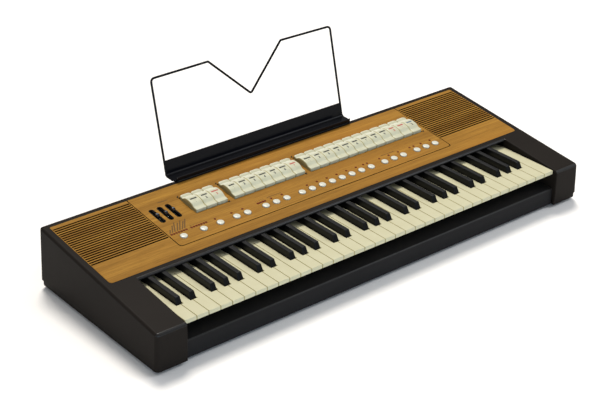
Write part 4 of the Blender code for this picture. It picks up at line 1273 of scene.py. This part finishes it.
def thick_path(path, t):
    other = []
    for i, (u, z) in enumerate(path):
        a, b = Vector(path[max(i - 1, 0)]), Vector((u, z))
        c = Vector(path[min(i + 1, len(path) - 1)])
        n1 = Vector((-(b - a).y, (b - a).x)) if i else None
        n2 = Vector((-(c - b).y, (c - b).x)) if i < len(path) - 1 else None
        n1 = n1.normalized() if n1 else n2.normalized()
        n2 = n2.normalized() if n2 else n1
        n = (n1 + n2).normalized()
        other.append(tuple(b + n * (t / max(0.5, n.dot(n1)))))
    return path + other[::-1]


def music_rest():
    lip, front, bend, top = (339.9, 120.4), (341.3, 113.7), (366.4, 114.6), (372.6, 140.7)
    path = [lip] + arc_corner(lip, front, bend, 2.0, 8) + arc_corner(front, bend, top, 5.0, 12) \
        + [top]
    sheet = along_x(thick_path(path, -REST_SHEET), REST_X - REST_HALF, REST_X + REST_HALF)
    tongues = [block(x - 12, x + 12, CASE_D + 1.1, CASE_D + 3.7, 70, 113.0)
               for x in (-TONGUE_X, TONGUE_X)]
    sheet = unite(sheet, *tongues)
    tools = []
    for side in (-1, 1):
        a, b = sorted((REST_X + side * (PLATE_HALF + 1.6), REST_X + side * (REST_HALF + 10)))
        tools.append(block(a, b, 358.0, 400.0, 116.9, 160.0))
        edge = REST_X + side * (REST_HALF + 1)
        tools.append(upright([(edge, 330.0), (edge, 349.0), (edge - side * 7.0, 340.0),
                              (edge - side * 8.5, 330.0)], 100, 130))
    sheet = cut(sheet, *tools)
    bevel(sheet, 0.45, 2, lambda e: sharp_edge(e, 50))
    place("rest_shelf", sheet, BLACK_STEEL, body="music_rest",
          stands_for=["music_rest_ledge"], angle=30)

    # Foam strip under the shelf, resting on the rear edge of the case.
    pad = along_x([(341.4, top_z(341.4) + 0.05), (344.6, top_z(344.6) - 0.05),
                   (344.8, 111.55), (341.5, 111.45)], REST_X - REST_HALF + 9,
                  REST_X + REST_HALF - 9)
    place("rest_foam_strip", pad, RUBBER, body="music_rest", flat=False)

    back, foot = REST_SHEET / 2, -23.6
    corners = [((REST_X - WIRE_TOP_HALF, WIRE_TOP), 7.0),
               ((NOTCH_X - PEAK_HALF, WIRE_TOP + 1.05), 3.0), ((NOTCH_X, NOTCH_Z), 4.5),
               ((NOTCH_X + PEAK_HALF, WIRE_TOP + 1.05), 3.0),
               ((REST_X + WIRE_TOP_HALF, WIRE_TOP), 7.0)]
    route = [(REST_X - WIRE_HALF, foot)] + [c for c, _ in corners] + [(REST_X + WIRE_HALF, foot)]
    flat = [route[0]]
    for i, (_, radius) in enumerate(corners):
        flat += arc_corner(route[i], route[i + 1], route[i + 2], radius, 12)
    flat.append(route[-1])
    points = [Vector(rest_point(x, up, back)) for x, up in flat]
    across = Vector(rest_point(0, 0, 1.0)) - Vector(rest_point(0, 0, 0.0))
    sides = 20
    rings = []
    for i, p in enumerate(points):
        d1 = (p - points[i - 1]).normalized() if i else (points[1] - p).normalized()
        d2 = (points[i + 1] - p).normalized() if i < len(points) - 1 else d1
        d = (d1 + d2).normalized()
        n = d.cross(across).normalized()
        rings.append([p + (n * math.cos(t) / max(0.7, d.dot(d1)) + across * math.sin(t)) * WIRE_R
                      for t in [2 * math.pi * k / sides for k in range(sides)]])
    place("rest_wire_frame", loft(rings), BLACK_STEEL, body="music_rest",
          stands_for=["music_rest_wire"], angle=50, flat=False)
    # Weld beads where the wire meets the folded sheet.
    beads = []
    for side in (-1, 1):
        for up in (-20.5, -9.0):
            ball = turned([(0.0, -2.6), (1.3, -2.2), (2.0, -1.0), (2.1, 0.0), (2.0, 1.0),
                           (1.3, 2.2), (0.0, 2.6)], 16)
            at = Vector(rest_point(REST_X + side * (PLATE_HALF - 1.5), up, back + 1.1))
            ball.transform(Matrix.Translation(at) @ Matrix.Rotation(-REST_LEAN, 4, "X"))
            beads.append(ball)
    place("rest_welds", together(*beads), BLACK_STEEL, body="music_rest",
          angle=50, flat=False)


# ---------------------------------------------------------------- rear and feet
def facing_rear(bm, x, u, z):
    """Turns a body built along +Z so that it points to the rear."""
    bm.transform(Matrix.Translation((x, u, z)) @ Matrix.Rotation(-math.pi / 2, 4, "X"))
    return bm


def rear_fittings():
    plate = block(-290, 290, CASE_D - 5.5, CASE_D - 3.3, 14.2, 62.0)
    tools = [block(INLET[0] - 0.4, INLET[1] + 0.4, 330, 355, INLET[2] - 0.4, INLET[3] + 0.4),
             block(SWITCH_X - 10.6, SWITCH_X + 10.6, 330, 355, SWITCH_Z - 13.6, SWITCH_Z + 13.6)]
    tools += [facing_rear(turned([(0, -10), (SOCKET_R, -10), (SOCKET_R, 10), (0, 10)], 32),
                          x, REAR_FACE, SOCKET_Z) for x in SOCKET_X]
    plate = cut(plate, *tools)
    bevel(plate, 0.3, 2, lambda e: sharp_edge(e, 50) and mid(e).y > REAR_FACE - 0.1)
    place("rear_plate", plate, BLACK_STEEL, stands_for=["rear_panel"])

    for k, x in enumerate(SOCKET_X):
        # Threaded bush and its knurled ring round each socket.
        ring = [(SOCKET_R - 0.05, 0.0), (7.4, 0.0), (7.4, 1.7), (7.0, 2.1), (5.4, 2.1), (5.0, 2.6),
                (SOCKET_R - 0.05, 2.6)]
        bm = bmesh.new()
        count = 48
        rings = []
        for i in range(count):
            a = 2 * math.pi * i / count
            grow = 0.12 if i % 2 else 0.0
            rings.append([bm.verts.new(((r + (grow if r > 7.2 else 0)) * math.cos(a),
                                        (r + (grow if r > 7.2 else 0)) * math.sin(a), z))
                          for r, z in ring])
        for i in range(count):
            p, q = rings[i], rings[(i + 1) % count]
            for j in range(len(ring)):
                n = (j + 1) % len(ring)
                bm.faces.new((p[j], q[j], q[n], p[n]))
        bmesh.ops.recalc_face_normals(bm, faces=bm.faces)
        place(f"socket_ring_{k + 1}", facing_rear(bm, x, REAR_FACE, SOCKET_Z), NICKEL,
              angle=30, flat=False)
        place(f"socket_number_{k + 1}", rear_text(str(k + 1), 5.0, x, 51.5), INK_WHITE,
              flat=False)

    # Mains inlet: three flat pins in its well.
    pins = []
    xm, zm = (INLET[0] + INLET[1]) / 2, (INLET[2] + INLET[3]) / 2
    for dx, dz in ((-7.0, -2.0), (0.0, 3.0), (7.0, -2.0)):
        pin = block(xm + dx - 1.0, xm + dx + 1.0, REAR_FACE - 15.1, REAR_FACE - 1.0, zm + dz - 2.0, zm + dz + 2.0)
        bevel(pin, 0.5, 2, lambda e: sharp_edge(e, 50) and mid(e).y > REAR_FACE - 1.5)
        pins.append(pin)
    place("inlet_pins", together(*pins), NICKEL)

    # Rocker with a bowed face and plain on/off signs.
    lean = math.radians(8)
    face = [(4.0, 12.4), (3.2, 9.0), (2.6, 4.5), (2.35, 0.0), (2.6, -4.5), (3.2, -9.0), (4.0, -12.4)]
    shape = [(-7.0, -9.0), (-7.0, 9.0), (-1.0, 12.6), (3.7, 12.6)] + face + [(3.7, -12.6), (-1.0, -12.6)]
    spun = [(math.cos(lean) * u - math.sin(lean) * z, math.sin(lean) * u + math.cos(lean) * z)
            for u, z in shape]
    rocker = along_x([(SWITCH_U + u, SWITCH_Z + z) for u, z in spun], SWITCH_X - 10.0, SWITCH_X + 10.0)
    bevel(rocker, 0.7, 3, lambda e: sharp_edge(e, 45) and mid(e).y > SWITCH_U + 1
          and abs(mid(e).x - SWITCH_X) > 9.9)
    place("mains_rocker", rocker, KNOB, body="power_switch",
          stands_for=["power_switch"])
    signs = []
    for z, kind in ((7.4, "bar"), (-7.4, "ring")):
        if kind == "bar":
            sign = block(-0.45, 0.45, -2.4, 2.4, 0.0, 0.18)
        else:
            outer = turned([(0, 0.0), (2.3, 0.0), (2.3, 0.18), (0, 0.18)], 28)
            sign = cut(outer, turned([(0, -1), (1.5, -1), (1.5, 1), (0, 1)], 28))
        u = 2.95
        su, sz = math.cos(lean) * u - math.sin(lean) * z, math.sin(lean) * u + math.cos(lean) * z
        tilt = lean + (0.115 if z > 0 else -0.115)
        sign.transform(Matrix.Translation((SWITCH_X, SWITCH_U + su - 0.02, SWITCH_Z + sz))
                       @ Matrix.Rotation(tilt, 4, "X") @ Matrix.Rotation(-math.pi / 2, 4, "X"))
        signs.append(sign)
    place("rocker_signs", together(*signs), INK_WHITE, body="power_switch",
          flat=False)
    bezel = cut(upright([(-12.6, -15.6), (12.6, -15.6), (12.6, 15.6), (-12.6, 15.6)], 0.0, 1.4),
                upright([(-10.5, -13.5), (10.5, -13.5), (10.5, 13.5), (-10.5, 13.5)], -2, 4))
    bevel(bezel, 0.5, 3, lambda e: sharp_edge(e, 50) and mid(e).z > 1.3)
    place("switch_bezel", facing_rear(bezel, SWITCH_X, REAR_FACE, SWITCH_Z), KNOB)
    for k, (x, z) in enumerate(((-270, 24), (-270, 52), (-156, 38), (60, 38), (150, 38), (270, 24),
                                (270, 52))):
        screw = facing_rear(pan_screw(2.6, 1.3, 20), x, REAR_FACE, z)
        place(f"plate_screw_{k + 1}", screw, STEEL, flat=False)


def rear_text(text, size, x, z):
    bm = digits(text, size, (0.0, 0.0), FLAT, 0.1)
    bm.transform(Matrix.Translation((x, REAR_FACE, z)) @ Matrix.Rotation(-math.pi / 2, 4, "X")
                 @ Matrix.Rotation(math.pi, 4, "Z"))
    return bm


def feet():
    for side, x in (("left", -418.0), ("right", 418.0)):
        for end, u in (("front", 40.0), ("rear", 306.0)):
            profile = [(0.0, -4.4), (2.6, -4.4), (3.0, -5.0), (8.6, -5.4), (9.2, -6.0), (10.1, -6.0),
                       (10.7, -5.7), (11.0, -5.1), (11.5, -3.0), (12.1, -1.3), (12.5, -1.0),
                       (12.5, -0.3), (0.0, -0.3)]
            place(f"rubber_{end}_{side}", turned(profile, 40, (x, u)), RUBBER,
                  stands_for=[f"foot_{end}_{side}"], angle=40, flat=False)


def inner_parts():
    """The construction's own solids inside keep their shape and get finishes."""
    looks = {"key_chassis": BLACK_STEEL, "key_contact_board": BOARD, "main_board": BOARD,
             "panel_board": BOARD, "amplifier_board": BOARD, "transformer": CORE,
             "mains_inlet": SOCKET_PLASTIC, "socket_strip": SOCKET_PLASTIC, "left_speaker": CONE,
             "right_speaker": CONE}
    for name, mat in looks.items():
        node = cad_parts[name]
        for slot_ in node.material_slots:
            slot_.material = mat
        if not node.material_slots:
            node.data.materials.append(mat)


# ---------------------------------------------------------------- stage
def stage():
    g = Graph("studio_floor", Specular_IOR_Level=0.1)
    cloud = g.noise(g.where(), 1.5, 3.0, 0.5)
    g.to("Base Color", g.mix(cloud, (0.955, 0.935, 0.912), (0.972, 0.952, 0.928)))
    g.to("Roughness", g.span(cloud, 0.80, 0.95))
    bm = bmesh.new()
    bmesh.ops.create_grid(bm, x_segments=8, y_segments=8, size=14.0)
    mesh = bpy.data.meshes.new("floor")
    bm.to_mesh(mesh)
    bm.free()
    floor = bpy.data.objects.new("floor", mesh)
    bpy.context.scene.collection.objects.link(floor)
    mesh.materials.append(g.mat)

    world = bpy.data.worlds.new("studio")
    world.use_nodes = True
    back = world.node_tree.nodes["Background"]
    back.inputs["Color"].default_value = (1.0, 1.0, 1.0, 1.0)
    back.inputs["Strength"].default_value = WORLD_LIGHT
    bpy.context.scene.world = world

    def aim(obj, position, target):
        obj.location = position
        direction = Vector(target) - Vector(position)
        obj.rotation_euler = direction.to_track_quat("-Z", "Y").to_euler()
        bpy.context.scene.collection.objects.link(obj)

    for name, kind, energy, colour, position, target, size in LIGHTS:
        data = bpy.data.lights.new(name, kind)
        data.energy = energy
        data.color = colour
        if kind == "SUN":
            data.angle = math.radians(size)
        else:
            data.shape = "RECTANGLE"
            data.size, data.size_y = size
        aim(bpy.data.objects.new(name, data), position, target)


WORLD_LIGHT = 0.16
LIGHTS = (
    # name, kind, energy, colour, position, target, size
    ("key_sun", "SUN", 2.72, (1.0, 0.955, 0.890), (0.70, 1.16, 2.7), (0.0, 0.0, 0.0), 20.0),
    ("dome_sun", "SUN", 0.85, (0.98, 0.99, 1.0), (0.0, -0.15, 2.6), (0.0, 0.0, 0.0), 130.0),
    ("front_strip", "AREA", 17.5, (0.54, 0.81, 1.10), (-1.0, -2.4, 0.42), (0.0, 0.0, 0.05), (2.4, 0.5)),
    ("edge_light", "AREA", 20.0, (0.88, 0.93, 1.0), (1.70, -1.35, 2.00), (0.0, 0.0, 0.05), (1.1, 1.4)),
)


def camera():
    """The photograph's view, solved from edges measured in it."""
    focal = 1536.3154898985688          # pixels, for a frame 600 wide
    yaw, pitch, roll = -0.689606146624056, 0.48871016642758086, 0.012668488327571756
    position = Vector((-1581.450, -1684.2975 + 8.7 - OVERALL_D / 2, 1376.830)) * MM
    ahead = Vector((-math.sin(yaw) * math.cos(pitch), math.cos(yaw) * math.cos(pitch),
                    -math.sin(pitch)))
    right = Vector((math.cos(yaw), math.sin(yaw), 0.0))
    up = right.cross(ahead)
    across = right * math.cos(roll) + up * math.sin(roll)
    above = up * math.cos(roll) - right * math.sin(roll)
    data = bpy.data.cameras.new("camera")
    data.sensor_width = 36.0
    data.lens = focal * 36.0 / 600.0
    data.clip_start, data.clip_end = 0.05, 60.0
    obj = bpy.data.objects.new("camera", data)
    bpy.context.scene.collection.objects.link(obj)
    obj.matrix_world = Matrix(((across.x, above.x, -ahead.x, position.x),
                               (across.y, above.y, -ahead.y, position.y),
                               (across.z, above.z, -ahead.z, position.z),
                               (0.0, 0.0, 0.0, 1.0)))
    bpy.context.scene.camera = obj
    bpy.context.scene.view_settings.view_transform = "Standard"


camera()
housing()
tray()
rail()
wood_panels()
grille_cloths()
keys()
stop_tabs()
push_buttons()
lamps()
slide_controls()
panel_screws()
panel_print()
music_rest()
rear_fittings()
feet()
inner_parts()
stage()
